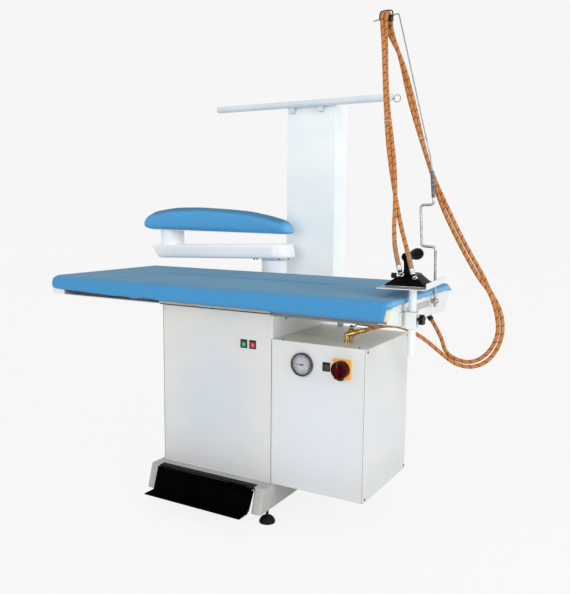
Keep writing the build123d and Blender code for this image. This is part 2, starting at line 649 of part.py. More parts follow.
lever_z = boiler_top + 37.3
with BuildPart() as valve_lever:
    bar((valve_x, valve_y, boiler_top + 26), (valve_x, valve_y, lever_z + 6), 3)
    with BuildSketch(Plane.XZ.offset(-(valve_y + 6))):
        with BuildLine():
            Polyline(
                (valve_x - 7, lever_z), (valve_x + 9, lever_z), (valve_x + 22, lever_z + 9),
                (valve_x + 78, lever_z + 6), (valve_x + 78, lever_z + 8.5), (valve_x + 21, lever_z + 11.5),
                (valve_x + 8, lever_z + 2.5), (valve_x - 7, lever_z + 2.5), close=True,
            )
        make_face()
    extrude(amount=12)
save(valve_lever, "valve_lever")

# gauge
gauge_front = cabinet_front - gauge_bezel
dial_y = gauge_front + 6.0
with BuildPart() as gauge_case:
    bar((gauge_x, gauge_front, gauge_z), (gauge_x, cabinet_front, gauge_z), gauge_radius)
    fillet(gauge_case.edges().filter_by(GeomType.CIRCLE).sort_by(Axis.Y)[0], radius=3)
    bar((gauge_x, cabinet_front, gauge_z), (gauge_x, cabinet_front + gauge_depth, gauge_z), gauge_body)
    bar((gauge_x, gauge_front, gauge_z), (gauge_x, dial_y, gauge_z), gauge_radius - 5, Mode.SUBTRACT)
    bar((gauge_x, dial_y, gauge_z), (gauge_x, dial_y + 8, gauge_z), 1.2 + running_gap, Mode.SUBTRACT)
save(gauge_case, "gauge_case")

with BuildPart() as gauge_pointer:
    y = (dial_y - 2.2, dial_y - 1.2)
    bar((gauge_x, y[0] - 0.8, gauge_z), (gauge_x, y[1], gauge_z), 3.2)
    bar((gauge_x, y[1], gauge_z), (gauge_x, dial_y + 6, gauge_z), 1.2)
    with BuildSketch(Plane.XZ.offset(-y[1])):
        with BuildLine():
            Polyline((gauge_x - 26, gauge_z + 1.5), (gauge_x, gauge_z + 1.6), (gauge_x + 9, gauge_z + 1.8),
                     (gauge_x + 9, gauge_z - 1.8), (gauge_x, gauge_z - 1.6), close=True)
        make_face()
    extrude(amount=y[1] - y[0])
save(gauge_pointer, "gauge_pointer")

with BuildPart() as gauge_glass:
    bar((gauge_x, gauge_front + 0.6, gauge_z), (gauge_x, gauge_front + 2.2, gauge_z),
        gauge_radius - 5 - running_gap)
save(gauge_glass, "gauge_glass")

# isolator switch
plate_y = (cabinet_front - isolator_plate, cabinet_front)
with BuildPart() as isolator_body:
    half = isolator_size / 2
    block((isolator_x - half, isolator_x + half), plate_y, (isolator_z - half, isolator_z + half))
    fillet(isolator_body.edges().filter_by(Axis.Y), radius=3)
    bar((isolator_x, cabinet_front, isolator_z), (isolator_x, cabinet_front + 30, isolator_z), 15)
    bar((isolator_x, plate_y[0] - 1, isolator_z), (isolator_x, cabinet_front + 24, isolator_z),
        5 + running_gap, Mode.SUBTRACT)
save(isolator_body, "isolator_body")

with BuildPart() as isolator_knob:
    knob_back = plate_y[0] - slip_gap
    knob_front = knob_back - knob_depth
    bar((isolator_x, knob_back, isolator_z), (isolator_x, knob_front, isolator_z), knob_radius)
    fillet(isolator_knob.edges().filter_by(GeomType.CIRCLE).sort_by(Axis.Y)[0], radius=6)
    with Locations((isolator_x, knob_front - 4, isolator_z)):
        Box(15, 16, 2 * knob_radius - 6)
    with Locations((isolator_x, knob_back - 8, isolator_z - knob_radius)):
        Box(16, 16, 12)
    bar((isolator_x, knob_back - 2, isolator_z), (isolator_x, cabinet_front + 22, isolator_z), 5)
save(isolator_knob, "isolator_knob")

# ---- board ----
tray_x = (board_x - board_length / 2 + tray_end_gap, board_x + board_length / 2 - tray_end_gap)
tray_front = board_front + cover_thickness + apron_thickness + 1.0
tray_back = board_back - cover_thickness - 1.0
tray_top = board_top - cover_thickness - padding_thickness - top_sheet_thickness


def tray_outline(inset):
    """The tray's section, moved inwards by the wall on every side but its open top."""
    return (
        (tray_front + inset, tray_top),
        (tray_front + inset, front_skirt_z - 2 + inset * 0.6),
        (cabinet_front + inset * 0.2, cabinet_top + inset),
        (tray_back - tray_back_in - inset * 0.4, cabinet_top + inset),
        (tray_back - inset, side_skirt_z - 12),
        (tray_back - inset, tray_top),
    )


with BuildPart() as board_tray:
    with BuildSketch(Plane.YZ.offset(tray_x[0])):
        with BuildLine():
            Polyline(*tray_outline(0), close=True)
        make_face()
    extrude(amount=tray_x[1] - tray_x[0])
    folds = board_tray.edges().filter_by(lambda e: e.center().Z < side_skirt_z - 20)
    fillet(folds, radius=bend)
    with BuildSketch(Plane.YZ.offset(tray_x[0] + tray_wall)):
        with BuildLine():
            Polyline(*tray_outline(tray_wall), close=True)
        make_face()
    extrude(amount=tray_x[1] - tray_x[0] - 2 * tray_wall, mode=Mode.SUBTRACT)
    # rear rim behind the cover's edge
    block(tray_x, (tray_back, tray_back + tray_back_out), (side_skirt_z - 12, side_skirt_z - 1))
    bar((fan_x, fan_y, cabinet_top - 5), (fan_x, fan_y, cabinet_top + 5), duct_radius - duct_wall,
        Mode.SUBTRACT)
    bar((post_x, post_y, cabinet_top), (post_x, post_y, board_top), post_radius + 1, Mode.SUBTRACT)
save(board_tray, "board_tray")

with BuildPart() as board_top_sheet:
    sheet_z = (tray_top, tray_top + top_sheet_thickness)
    block(tray_x, (tray_front, tray_back), sheet_z)
    with Locations((board_x, (tray_front + tray_back) / 2, tray_top)):
        with GridLocations(88, 84, 15, 6):
            Cylinder(16, 20, mode=Mode.SUBTRACT)
    # flat heating tube under the sheet, a serpentine along the board
    rows, row_gap, heater_reach = 5, 84.0, board_length / 2 - 70.0
    points = []
    for row in range(rows):
        y = (board_front + board_back) / 2 + (row - (rows - 1) / 2) * row_gap
        side = 1 if row % 2 else -1
        points += [(board_x + side * heater_reach, y), (board_x - side * heater_reach, y)]
    with BuildLine(Plane.XY.offset(tray_top - 4)):
        heater = FilletPolyline(*points, radius=30)
    with BuildSketch(Plane(origin=heater @ 0, x_dir=(0, 0, 1), z_dir=heater % 0)):
        Rectangle(8, 9)
    sweep(path=heater)
save(board_top_sheet, "board_top_sheet")

cover_x = grown(tray_x, tray_end_gap)
cover_y = (board_front, board_back)
with BuildPart() as board_padding:
    pad_x, pad_y = grown(cover_x, -cover_thickness), grown(cover_y, -cover_thickness)
    pad_z = (sheet_z[1], board_top - cover_thickness)
    block(pad_x, pad_y, (front_skirt_z + 4, pad_z[1]))
    fillet(board_padding.edges().filter_by(Axis.Z), radius=board_corner - cover_thickness)
    fillet(board_padding.edges().group_by(Axis.Z)[-1], radius=board_edge - cover_thickness)
    # only an apron in front hangs lower than the top sheet
    block(grown(pad_x, 1), (tray_front - slip_gap, pad_y[1] + 1), (front_skirt_z, pad_z[0]),
          Mode.SUBTRACT)
save(board_padding, "board_padding")

with BuildPart() as board_cover:
    block(cover_x, cover_y, (front_skirt_z, board_top))
    fillet(board_cover.edges().filter_by(Axis.Z), radius=board_corner)
    fillet(board_cover.edges().group_by(Axis.Z)[-1], radius=board_edge)
    # the ends and the back hang less far than the front
    block(grown(cover_x, 1), (cover_y[0] + board_corner, cover_y[1] + 1),
          (front_skirt_z - 1, side_skirt_z), Mode.SUBTRACT)
    block((cover_x[1] - 20, cover_x[1] + 1), (cover_y[0] - 1, cover_y[1] + 1),
          (front_skirt_z - 1, side_skirt_z), Mode.SUBTRACT)
    block((pad_x[0] + 5, pad_x[1] - 5), (pad_y[0], pad_y[1] - 5), (front_skirt_z - 1, side_skirt_z + 2),
          Mode.SUBTRACT)
    add(board_padding.part, mode=Mode.SUBTRACT)
    block(grown(tray_x, slip_gap), (tray_front - slip_gap, tray_back + slip_gap),
          (front_skirt_z - 1, sheet_z[1]), Mode.SUBTRACT)
save(board_cover, "board_cover")

# ---- sleeve post and arm ----
with BuildPart() as sleeve_post:
    tube((post_x, post_y, post_bottom), (post_x, post_y, post_top), post_radius, duct_wall)
    bar((post_x, post_y, post_bottom), (post_x, post_y, post_bottom + duct_wall), post_radius)
    bar((post_x, post_y, cabinet_top), (post_x, post_y, cabinet_top + 6), post_radius + 28)
    bar((post_x, post_y, cabinet_top - 1), (post_x, post_y, cabinet_top + 7), post_radius - duct_wall,
        Mode.SUBTRACT)
    bar((post_x, post_y, branch_z), (post_x, fan_y, branch_z), branch_radius - duct_wall, Mode.SUBTRACT)
save(sleeve_post, "sleeve_post")

bush_radius = post_radius - duct_wall
spigot_radius = bush_radius - 5.0
with BuildPart() as swivel_bush:
    bar((post_x, post_y, post_top - 70), (post_x, post_y, post_top), bush_radius)
    bar((post_x, post_y, post_top), (post_x, post_y, post_top + bush_flange), post_radius)
    bar((post_x, post_y, post_top - 71), (post_x, post_y, post_top + bush_flange), spigot_radius,
        Mode.SUBTRACT)
save(swivel_bush, "swivel_bush")


def arm_z(x):
    """Height of the arm's underside, which rises towards the pivot."""
    return arm_pivot_z + arm_slope * (x - post_x)


def arm_body(inset):
    """The arm's box with its cut left end and round right end, moved inwards by the wall."""
    left, right = post_x - arm_left + inset, post_x + 100.0
    half, nose_x = arm_width / 2 - inset, post_x + arm_nose
    with BuildPart() as body:
        with BuildSketch(Plane.XZ.offset(-(post_y + half))):
            with BuildLine():
                Polyline(
                    (left, arm_z(left) + arm_height - inset),
                    (left + arm_end_cut, arm_z(left) + inset + 1.0),
                    (right, arm_z(right) + inset),
                    (right, arm_z(right) + arm_height - inset),
                    close=True,
                )
            make_face()
        extrude(amount=2 * half)
        with BuildSketch(Plane.XY.offset(arm_pivot_z - 60)):
            with Locations((nose_x, post_y)):
                Circle(half)
            with Locations(((left + nose_x) / 2, post_y)):
                Rectangle(nose_x - left, 2 * half)
        extrude(amount=200, mode=Mode.INTERSECT)
    return body


arm_outer, arm_inner = arm_body(0), arm_body(arm_wall)
spigot_gap = 0.3  # running height between the arm's collar and the bush
pad_slope = (pad_bottom_right - pad_bottom_left) / (pad_left + pad_right)


def pad_z_at(x):
    """Height of the pad's underside, which falls towards its nose."""
    return pad_bottom_left + pad_slope * (x - (post_x - pad_left))


def sleeve_plan(inset):
    """The pad's outline from above: wide and round at the left, narrower at its nose."""
    wide, narrow = pad_width_wide / 2 - inset, pad_width_narrow / 2 - inset
    left, right = post_x - pad_left + inset, post_x + pad_right - inset
    tail, nose = left + wide * 0.8, right - narrow * 0.9
    with BuildSketch() as plan:
        with BuildLine():
            ThreePointArc((tail, post_y + wide), (left, post_y), (tail, post_y - wide))
            Line((tail, post_y - wide), (nose, post_y - narrow))
            ThreePointArc((nose, post_y - narrow), (right, post_y), (nose, post_y + narrow))
            Line((nose, post_y + narrow), (tail, post_y + wide))
        make_face()
    return plan.sketch


with BuildPart() as sleeve_base:
    left, right = post_x - pad_left - 10, post_x + pad_right + 10
    with BuildSketch(Plane.XZ.offset(-(post_y + 100))):
        with BuildLine():
            Polyline(
                (left, pad_z_at(left) - base_thickness), (left, pad_z_at(left)),
                (right, pad_z_at(right)), (right, pad_z_at(right) - base_thickness), close=True,
            )
        make_face()
    extrude(amount=200)
    with BuildSketch(Plane.XY.offset(pad_bottom_right - 50)):
        add(sleeve_plan(base_inset))
    extrude(amount=100, mode=Mode.INTERSECT)
    bar((upper_post_x, post_y, pad_bottom_left - 40), (upper_post_x, post_y, pad_bottom_left + 40),
        post_radius - 14, Mode.SUBTRACT)
save(sleeve_base, "sleeve_base")

with BuildPart() as sleeve_arm:
    add(arm_outer.part)
    bar((post_x, post_y, post_top + bush_flange + spigot_gap), (post_x, post_y, arm_pivot_z + 20),
        post_radius)
    bar((post_x, post_y, post_top - 62), (post_x, post_y, arm_pivot_z + 20), spigot_radius - running_gap)
    bar((upper_post_x, post_y, arm_z(upper_post_x) + arm_height - 10),
        (upper_post_x, post_y, pad_bottom_left + 5), post_radius)
    add(arm_inner.part, mode=Mode.SUBTRACT)
    bar((post_x, post_y, post_top - 63), (post_x, post_y, arm_pivot_z + 20), spigot_radius - duct_wall,
        Mode.SUBTRACT)
    bar((upper_post_x, post_y, arm_z(upper_post_x) + 20), (upper_post_x, post_y, pad_bottom_left + 6),
        post_radius - duct_wall, Mode.SUBTRACT)
    # the upper post ends under the sleeve's base plate
    with BuildSketch(Plane.XZ.offset(-(post_y + 100))):
        with BuildLine():
            left, right = upper_post_x - 90, upper_post_x + 90
            Polyline(
                (left, pad_z_at(left) - base_thickness), (left, pad_z_at(left) + 40),
                (right, pad_z_at(right) + 40), (right, pad_z_at(right) - base_thickness), close=True,
            )
        make_face()
    extrude(amount=200, mode=Mode.SUBTRACT)
save(sleeve_arm, "sleeve_arm")

# the pad's side view from its tail to its nose, as distance from the pivot and height over its underside
pad_crown = [(-719, 24), (-702, 56), (-637, 86), (-528, 100), (-397, 102), (-241, 97),
             (-121, 90), (-34, 77), (51, 60), (84, 34), (91, 12)]


def sleeve_body(inset):
    """The pad's solid: its side view cut to its outline from above, moved inwards by the skin."""
    crown = [(post_x + x + (inset if x < -600 else -inset if x > 60 else 0),
              pad_z_at(post_x + x) + h - inset) for x, h in pad_crown]
    with BuildPart() as body:
        with BuildSketch(Plane.XZ.offset(-(post_y + 100))):
            with BuildLine():
                Spline(*crown)
                Polyline(crown[-1], (crown[-1][0], pad_z_at(crown[-1][0])),
                         (crown[0][0], pad_z_at(crown[0][0])), crown[0])
            make_face()
        extrude(amount=200)
        with BuildSketch(Plane.XY.offset(pad_bottom_right - 50)):
            add(sleeve_plan(inset))
        extrude(amount=300, mode=Mode.INTERSECT)
    return body


sleeve_padding = sleeve_body(sleeve_skin)
save(sleeve_padding, "sleeve_padding")

with BuildPart() as sleeve_cover:
    add(sleeve_body(0).part)
    add(sleeve_padding.part, mode=Mode.SUBTRACT)
save(sleeve_cover, "sleeve_cover")

# ---- column and rail ----
with BuildPart() as column_shell:
    column_x, column_y = (column_left, column_right), (cabinet_back, column_back)
    block(column_x, column_y, (cabinet_bottom, column_top))
    fillet(column_shell.edges().filter_by(Axis.Z), radius=bend)
    block(grown(column_x, -sheet), grown(column_y, -sheet), (cabinet_bottom - 1, column_top - sheet),
          Mode.SUBTRACT)
    block(grown(outlet_x, slip_gap), (cabinet_back - 1, cabinet_back + sheet + 1),
          grown(outlet_z, slip_gap), Mode.SUBTRACT)
    # exhaust slots high in the back
    for step in range(7):
        with Locations((sum(column_x) / 2, column_back, column_top - 150 - 22 * step)):
            Box(150, 10, 9, mode=Mode.SUBTRACT)
    for spot in cap_screws:
        screw_hole(spot, (0, 1, 0))
save(column_shell, "column_shell")

with BuildPart() as column_cap:
    cap_x, cap_y = grown(column_x, sheet + slip_gap), grown(column_y, sheet + slip_gap)
    block(cap_x, cap_y, (column_top - cap_drop, column_top + sheet))
    fillet(column_cap.edges().filter_by(Axis.Z) + column_cap.edges().group_by(Axis.Z)[-1], radius=bend)
    block(grown(cap_x, -sheet), grown(cap_y, -sheet), (column_top - cap_drop - 1, column_top), Mode.SUBTRACT)
    for spot in cap_screws:
        screw_hole(spot, (0, 1, 0))
save(column_cap, "column_cap")

rail_y = cabinet_back - rail_radius - 6.0
with BuildPart() as rail_tube:
    bar((rail_left, rail_y, rail_z), (rail_right, rail_y, rail_z), rail_radius)
    bar((rail_left + 2, rail_y, rail_z), (rail_right - 2, rail_y, rail_z), rail_radius - rail_wall,
        Mode.SUBTRACT)
    # saddles that hold the rail to the column's front
    for x in (column_left + 30, column_left + 165):
        block((x - 12, x + 12), (rail_y, cabinet_back - sheet - slip_gap), (rail_z - 9, rail_z + 9))
        block((x - 12, x + 12), (rail_y, cabinet_back), (rail_z - 34, rail_z - 16))
        block((x - 12, x + 12), (rail_y, rail_y + 10), (rail_z - 34, rail_z))
    bar((rail_left + 2, rail_y, rail_z), (rail_right - 2, rail_y, rail_z), rail_radius - rail_wall,
        Mode.SUBTRACT)
    # ear at the right end with the wire ring through it
    ear_z = rail_z - 6
    block((rail_right - 0.5, rail_right + 9), (rail_y - 5, rail_y + 5), (ear_z - 1, ear_z + 1))
    bar((rail_right + 5, rail_y, ear_z - 2), (rail_right + 5, rail_y, ear_z + 2), ring_wire + slip_gap,
        Mode.SUBTRACT)
    with Locations(Location((rail_right + 5 + ring_radius, rail_y, ear_z), (90, 0, 0))):
        Torus(ring_radius, ring_wire)
save(rail_tube, "rail_tube")

# ---- black screws and the cabinet's plug ----
with BuildPart() as panel_screws:
    bar(plug_spot, (cabinet_right + 1.8, plug_spot[1], plug_spot[2]), plug_radius + 1)
    bar(plug_spot, (cabinet_right - 4, plug_spot[1], plug_spot[2]), plug_radius - slip_gap)
    for spot in casing_screws:
        screw(spot, (-1, 0, 0))
    for spot in lid_screws:
        screw(spot, (0, 0, -1))
    for spot in cap_screws:
        screw(spot, (0, 1, 0))
save(panel_screws, "panel_screws")

# ---- iron rest ----
rest_plane = Plane(origin=(rest_x, rest_y, rest_top), x_dir=(cos(radians(rest_turn)),
                   sin(radians(rest_turn)), 0), z_dir=(0, 0, 1))
with BuildPart() as iron_rest:
    with BuildSketch(rest_plane.offset(-rest_sheet)):
        Rectangle(rest_width, rest_length)
        fillet(vertices(), radius=4)
    extrude(amount=rest_sheet)
    with BuildSketch(rest_plane):
        with Locations((rest_width / 2 - rest_sheet / 2, 8)):
            Rectangle(rest_sheet, rest_length - 24)
    extrude(amount=rest_flange)
    tube((rest_tube_x, rest_tube_y, rest_tube_bottom), (rest_tube_x, rest_tube_y, rest_top - rest_sheet),
         rest_tube_radius, 1.8)
save(iron_rest, "iron_rest")

with BuildPart() as rest_clamp:
    half = clamp_size / 2
    block((rest_tube_x - half, rest_tube_x + half), (rest_tube_y - half, rest_tube_y + half),
          (clamp_bottom, clamp_top))
    fillet(rest_clamp.edges(), radius=bend)
    block((tray_x[1], rest_tube_x - half), (rest_tube_y - 4, rest_tube_y + 4), (clamp_bottom, clamp_top - 6))
    block((tray_x[1], tray_x[1] + 4), (rest_tube_y - 34, rest_tube_y + 34), (clamp_bottom + 8, clamp_top - 4))
    bar((rest_tube_x, rest_tube_y, clamp_bottom - 1), (rest_tube_x, rest_tube_y, clamp_top + 1),
        rest_tube_radius + slip_gap, Mode.SUBTRACT)
    knob_z = (clamp_bottom + clamp_top) / 2 + 3
    bar((rest_tube_x, rest_tube_y, knob_z), (rest_tube_x + half + 1, rest_tube_y, knob_z), 4 + running_gap,
        Mode.SUBTRACT)
save(rest_clamp, "rest_clamp")

with BuildPart() as rest_knob:
    knob_x = rest_tube_x + half + 7
    bar((rest_tube_x + rest_tube_radius + slip_gap, rest_tube_y, knob_z), (knob_x + 8, rest_tube_y, knob_z), 4)
    bar((knob_x, rest_tube_y, knob_z), (knob_x + 14, rest_tube_y, knob_z), 10)
    with Locations(Plane(origin=(knob_x + 7, rest_tube_y, knob_z), z_dir=(1, 0, 0)).location):
        with PolarLocations(11, 5):
            Cylinder(5.5, 14)
save(rest_knob, "rest_knob")

# ---- iron ----
def on_rest(u, v, h):
    """A point given across the rest, along the rest and above its plate."""
    p = rest_plane.from_local_coords(Vector(u, v, h))
    return (p.X, p.Y, p.Z)


iron_rear, iron_gap = -86.0, 0.3
iron_u = -3.0


def sole_outline(inset):
    """The sole's outline: square at the rear, pointed at the front."""
    half, nose = sole_width / 2 - inset, iron_rear + sole_length - inset
    rear = iron_rear + inset
    with BuildSketch() as outline:
        with BuildLine():
            Line((iron_u - half, rear), (iron_u + half, rear))
            Line((iron_u + half, rear), (iron_u + half, rear + 70))
            Spline((iron_u + half, rear + 70), (iron_u + half * 0.72, rear + 140), (iron_u, nose),
                   tangents=((0, 1), (-1, 0)))
            Spline((iron_u, nose), (iron_u - half * 0.72, rear + 140), (iron_u - half, rear + 70),
                   tangents=((-1, 0), (0, -1)))
            Line((iron_u - half, rear + 70), (iron_u - half, rear))
        make_face()
    return outline.sketch


with BuildPart() as iron_sole:
    with BuildSketch(rest_plane.offset(iron_gap)):
        add(sole_outline(0))
    extrude(amount=sole_height)
save(iron_sole, "iron_sole")

skirt_base = iron_gap + sole_height
with BuildPart() as iron_body:
    with BuildSketch(rest_plane.offset(skirt_base)):
        add(sole_outline(1))
    with BuildSketch(rest_plane.offset(skirt_base + skirt_height)):
        add(sole_outline(32))
    loft()
    # raised neck that carries the fittings and the handle
    with BuildSketch(rest_plane.offset(skirt_base + skirt_height - 1)):
        with Locations((iron_u, iron_rear + 72)):
            RectangleRounded(50, 70, 10)
    extrude(amount=9)
save(iron_body, "iron_body")

handle_base = skirt_base + skirt_height + 8
grip_h = 90.0
with BuildPart() as iron_handle:
    with BuildSketch(rest_plane.offset(handle_base)):
        with Locations((iron_u, iron_rear + 48)):
            RectangleRounded(20, 24, 5)
    extrude(amount=grip_h - handle_base)
    bar(on_rest(iron_u, iron_rear + 34, grip_h), on_rest(iron_u, iron_rear + 132, grip_h), 13)
    with Locations(on_rest(iron_u, iron_rear + 140, grip_h)):
        Sphere(18.5)
    with Locations(on_rest(iron_u, iron_rear + 34, grip_h)):
        Sphere(13)
save(iron_handle, "iron_handle")

# the two hose ends on the iron: a bright ferrule along the hose's run, then a bend into the skirt
valve_u, valve_v, valve_h = iron_u - 25.0, iron_rear + 6.0, 34.0
knob_shaft = 3.0
with BuildPart() as iron_fittings:
    for route in (cable_route, steam_route):
        end = Vector(*route[0])
        d = (Vector(*route[1]) - end).normalized()
        root = end - d * 26
        foot = Vector(root.X, root.Y + 24, rest_top + skirt_base + skirt_height - 8)
        bar(root, end - d * 18, 6.5)
        bar(end - d * 18, end, 7.4)
        bar(root, foot, 6.5)
        with Locations(root):
            Sphere(6.5)
    # steam valve's body, left of the left bend
    root = Vector(*cable_route[0]) - (Vector(*cable_route[1]) - Vector(*cable_route[0])).normalized() * 26
    bar(root, on_rest(valve_u + 4, valve_v, valve_h), 5)
    bar(on_rest(valve_u, valve_v, valve_h), on_rest(valve_u + 10, valve_v, valve_h), 6.5)
    bar(on_rest(valve_u - 1, valve_v, valve_h), on_rest(valve_u + 8, valve_v, valve_h),
        knob_shaft + running_gap, Mode.SUBTRACT)
    add(iron_body.part, mode=Mode.SUBTRACT)
save(iron_fittings, "iron_fittings")

with BuildPart() as steam_knob:
    knob_end = valve_u - slip_gap
    bar(on_rest(knob_end, valve_v, valve_h), on_rest(knob_end - 15, valve_v, valve_h), 7)
    with Locations(Plane(origin=on_rest(knob_end - 7.5, valve_v, valve_h), z_dir=rest_plane.x_dir).location):
        with PolarLocations(7, 8):
            Cylinder(1.4, 15)
    bar(on_rest(knob_end - 2, valve_v, valve_h), on_rest(valve_u + 7, valve_v, valve_h), knob_shaft)
save(steam_knob, "steam_knob")

# ---- whip ----
tray_end = tray_x[1]
socket_z = whip_foot_z + 21.0
with BuildPart() as whip_socket:
    # eye block on the tray's end, with a bolt and a cap below the rod
    block((tray_end, tray_end + 3), (whip_y - 16, whip_y + 56), grown((socket_z, socket_z), 13))
    bar((tray_end + 3, whip_y, socket_z), (whip_x, whip_y, socket_z), 6)
    with Locations((whip_x, whip_y, socket_z)):
        Sphere(11.5)
    bar((tray_end + 3, whip_y + 38, socket_z), (tray_end + 8, whip_y + 38, socket_z), 7)
    bar((whip_x, whip_y, whip_foot_z), (whip_x, whip_y, socket_z + 13), whip_radius + running_gap,
        Mode.SUBTRACT)
save(whip_socket, "whip_socket")

jog_low, jog_high = 969.0, 1109.0
whip_top = 1134.0
coil_low, coil_high = Vector(whip_x - 18, whip_y, whip_top), Vector(whip_x - 26, whip_y, whip_top + 88)
coil_run = coil_high - coil_low
whip_path = [
    (whip_x, whip_y, whip_foot_z + 2), (whip_x - 5, whip_y, jog_low), (whip_x - 53, whip_y, jog_low + 3),
    (whip_x - 61, whip_y, jog_high), tuple(coil_low - coil_run * 0.26), tuple(coil_low),
]
with BuildPart() as whip_rod:
    with BuildLine():
        rod_line = FilletPolyline(*whip_path, radius=10)
    with BuildSketch(Plane(origin=rod_line @ 0, z_dir=rod_line % 0)):
        Circle(whip_radius)
    sweep(path=rod_line)
    add(whip_socket.part, mode=Mode.SUBTRACT)
save(whip_rod, "whip_rod")

wand_path = [
    tuple(coil_low), tuple(coil_high + coil_run * 0.3), (wand_knee_x, whip_y, wand_knee_z),
    (wand_tip_x, whip_y, wand_tip_z),
]
spring_outer = 6.8
with BuildPart() as whip_spring:
    bar(coil_low, coil_high, spring_outer)
    bar(coil_low, coil_high, wand_radius + running_gap, Mode.SUBTRACT)
save(whip_spring, "whip_spring")

with BuildPart() as whip_wand:
    with BuildLine():
        wand_line = FilletPolyline(*wand_path, radius=[200, 7])
    with BuildSketch(Plane(origin=wand_line @ 0, z_dir=wand_line % 0)):
        Circle(wand_radius)
    sweep(path=wand_line)
save(whip_wand, "whip_wand")

# black saddle that the two hoses bend over, clipped on the wand's arm
saddle_x = (whip_x - 223, whip_x - 182)
wand_slope = (wand_knee_z - wand_tip_z) / (wand_knee_x - wand_tip_x)
saddle_z = wand_knee_z - wand_slope * (wand_knee_x - sum(saddle_x) / 2)
fold_radius = 20.0 - hose_diameter / 2 - slip_gap
with BuildPart() as hose_saddle:
    centre_z = saddle_z - 8.0
    bar((saddle_x[0], whip_y, centre_z), (saddle_x[1], whip_y, centre_z), fold_radius)
    block(saddle_x, (whip_y - 30, whip_y + 30), (centre_z - 30, centre_z - 4), Mode.SUBTRACT)
    add(whip_wand.part, mode=Mode.SUBTRACT)
save(hose_saddle, "hose_saddle")

# ---- hoses ----
def hose(name, route):
    """A hose along straight runs joined by arcs as large as the runs beside them allow."""
    points = [Vector(*p) for p in route]
    runs = [b - a for a, b in zip(points, points[1:])]
    radii = []
    for before, after in zip(runs, runs[1:]):
        turn = radians(before.get_angle(after))
        radii.append(0.45 * min(before.length, after.length) / tan(turn / 2))
    with BuildPart() as piece:
        with BuildLine():
            line = FilletPolyline(*points, radius=radii)
        with BuildSketch(Plane(origin=line @ 0, z_dir=line % 0)):
            Circle(hose_diameter / 2)
        sweep(path=line)
    section = pi * hose_diameter**2 / 4
    print(name, "bend radii:", " ".join(f"{r:.0f}" for r in radii))
    print(name, f"length {line.length:.0f} mm, volume {piece.part.volume:.0f} mm3,"
          f" section times length {section * line.length:.0f} mm3")
    return piece


for name, route in (("steam_hose", steam_route), ("cable_hose", cable_route)):
    save(hose(name, route), name)

# gland under the tray's end, along the cable hose's last run
gland_start = Vector(*cable_route[-1])
gland_dir = (gland_start - Vector(*cable_route[-2])).normalized()
with BuildPart() as hose_gland:
    bar(gland_start, gland_start + gland_dir * 40, 9.5)
    block((gland_start.X - 100, gland_start.X + 100), (gland_start.Y - 100, gland_start.Y + 100),
          (cabinet_top, cabinet_top + 60), Mode.SUBTRACT)
save(hose_gland, "hose_gland")
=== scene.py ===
# %% [markdown]
# # A suction ironing table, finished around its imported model
# The table is a machine: a cabinet with a fan in it, a board that breathes in through its padding, a
# boiler, an iron on two hoses and a sleeve arm that swings over the board. Its metal parts come from
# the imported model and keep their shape, so this script gives them paint, plating and plastic. What
# is soft or fine, such as hoses, cloth, springs and dials, is built here as meshes.
# The frame is loaded first, because every piece is placed from its boxes and rides on its bodies.

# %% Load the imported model
import bmesh
import bpy
from math import ceil, cos, exp, pi, radians, sin, sqrt, tan
from mathutils import Matrix, Vector, noise


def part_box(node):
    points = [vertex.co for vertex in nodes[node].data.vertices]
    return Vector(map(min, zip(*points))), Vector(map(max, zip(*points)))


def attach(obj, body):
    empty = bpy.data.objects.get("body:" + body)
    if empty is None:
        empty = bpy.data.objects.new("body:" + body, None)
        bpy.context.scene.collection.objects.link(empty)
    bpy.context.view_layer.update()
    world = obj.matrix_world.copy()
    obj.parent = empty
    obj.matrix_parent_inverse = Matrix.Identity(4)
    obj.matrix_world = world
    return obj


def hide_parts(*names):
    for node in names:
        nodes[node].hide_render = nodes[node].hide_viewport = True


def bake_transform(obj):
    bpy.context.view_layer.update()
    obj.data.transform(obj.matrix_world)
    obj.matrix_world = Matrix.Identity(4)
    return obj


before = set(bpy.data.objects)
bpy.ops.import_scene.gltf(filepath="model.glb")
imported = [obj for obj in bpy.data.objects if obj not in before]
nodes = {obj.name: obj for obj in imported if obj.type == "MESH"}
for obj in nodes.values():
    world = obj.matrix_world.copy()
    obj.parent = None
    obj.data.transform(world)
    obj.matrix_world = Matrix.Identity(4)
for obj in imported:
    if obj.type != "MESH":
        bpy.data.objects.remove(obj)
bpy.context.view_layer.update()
MM = 0.001
UP = Vector((0, 0, 1))

# %% [markdown]
# ## Camera
# A machine is shown well from a little above its board and from the user's right. The
# camera could be aimed with a Track To constraint, but a matrix built from three angles says the
# same thing in four lines and keeps the small roll of a hand-held camera.

# %% Set the camera
CAMERA_PLACE = Vector((1.436, -2.320, 1.089))
CAMERA_YAW, CAMERA_PITCH, CAMERA_ROLL = radians(29.76), radians(7.14), radians(0.55)
SENSOR_MM, LENS_MM, CAMERA_REACH = 36.0, 42.2, 60.0


def camera_axes(yaw, pitch, roll):
    """Right, up and backward directions of a camera turned by three angles."""
    back = Vector((sin(yaw) * cos(pitch), -cos(yaw) * cos(pitch), sin(pitch)))
    right = (-back).cross(UP).normalized()
    up = right.cross(-back)
    return right * cos(roll) + up * sin(roll), up * cos(roll) - right * sin(roll), back


def in_scene(name, data):
    """Link new data as an object of the scene."""
    made = bpy.data.objects.new(name, data)
    bpy.context.scene.collection.objects.link(made)
    return made


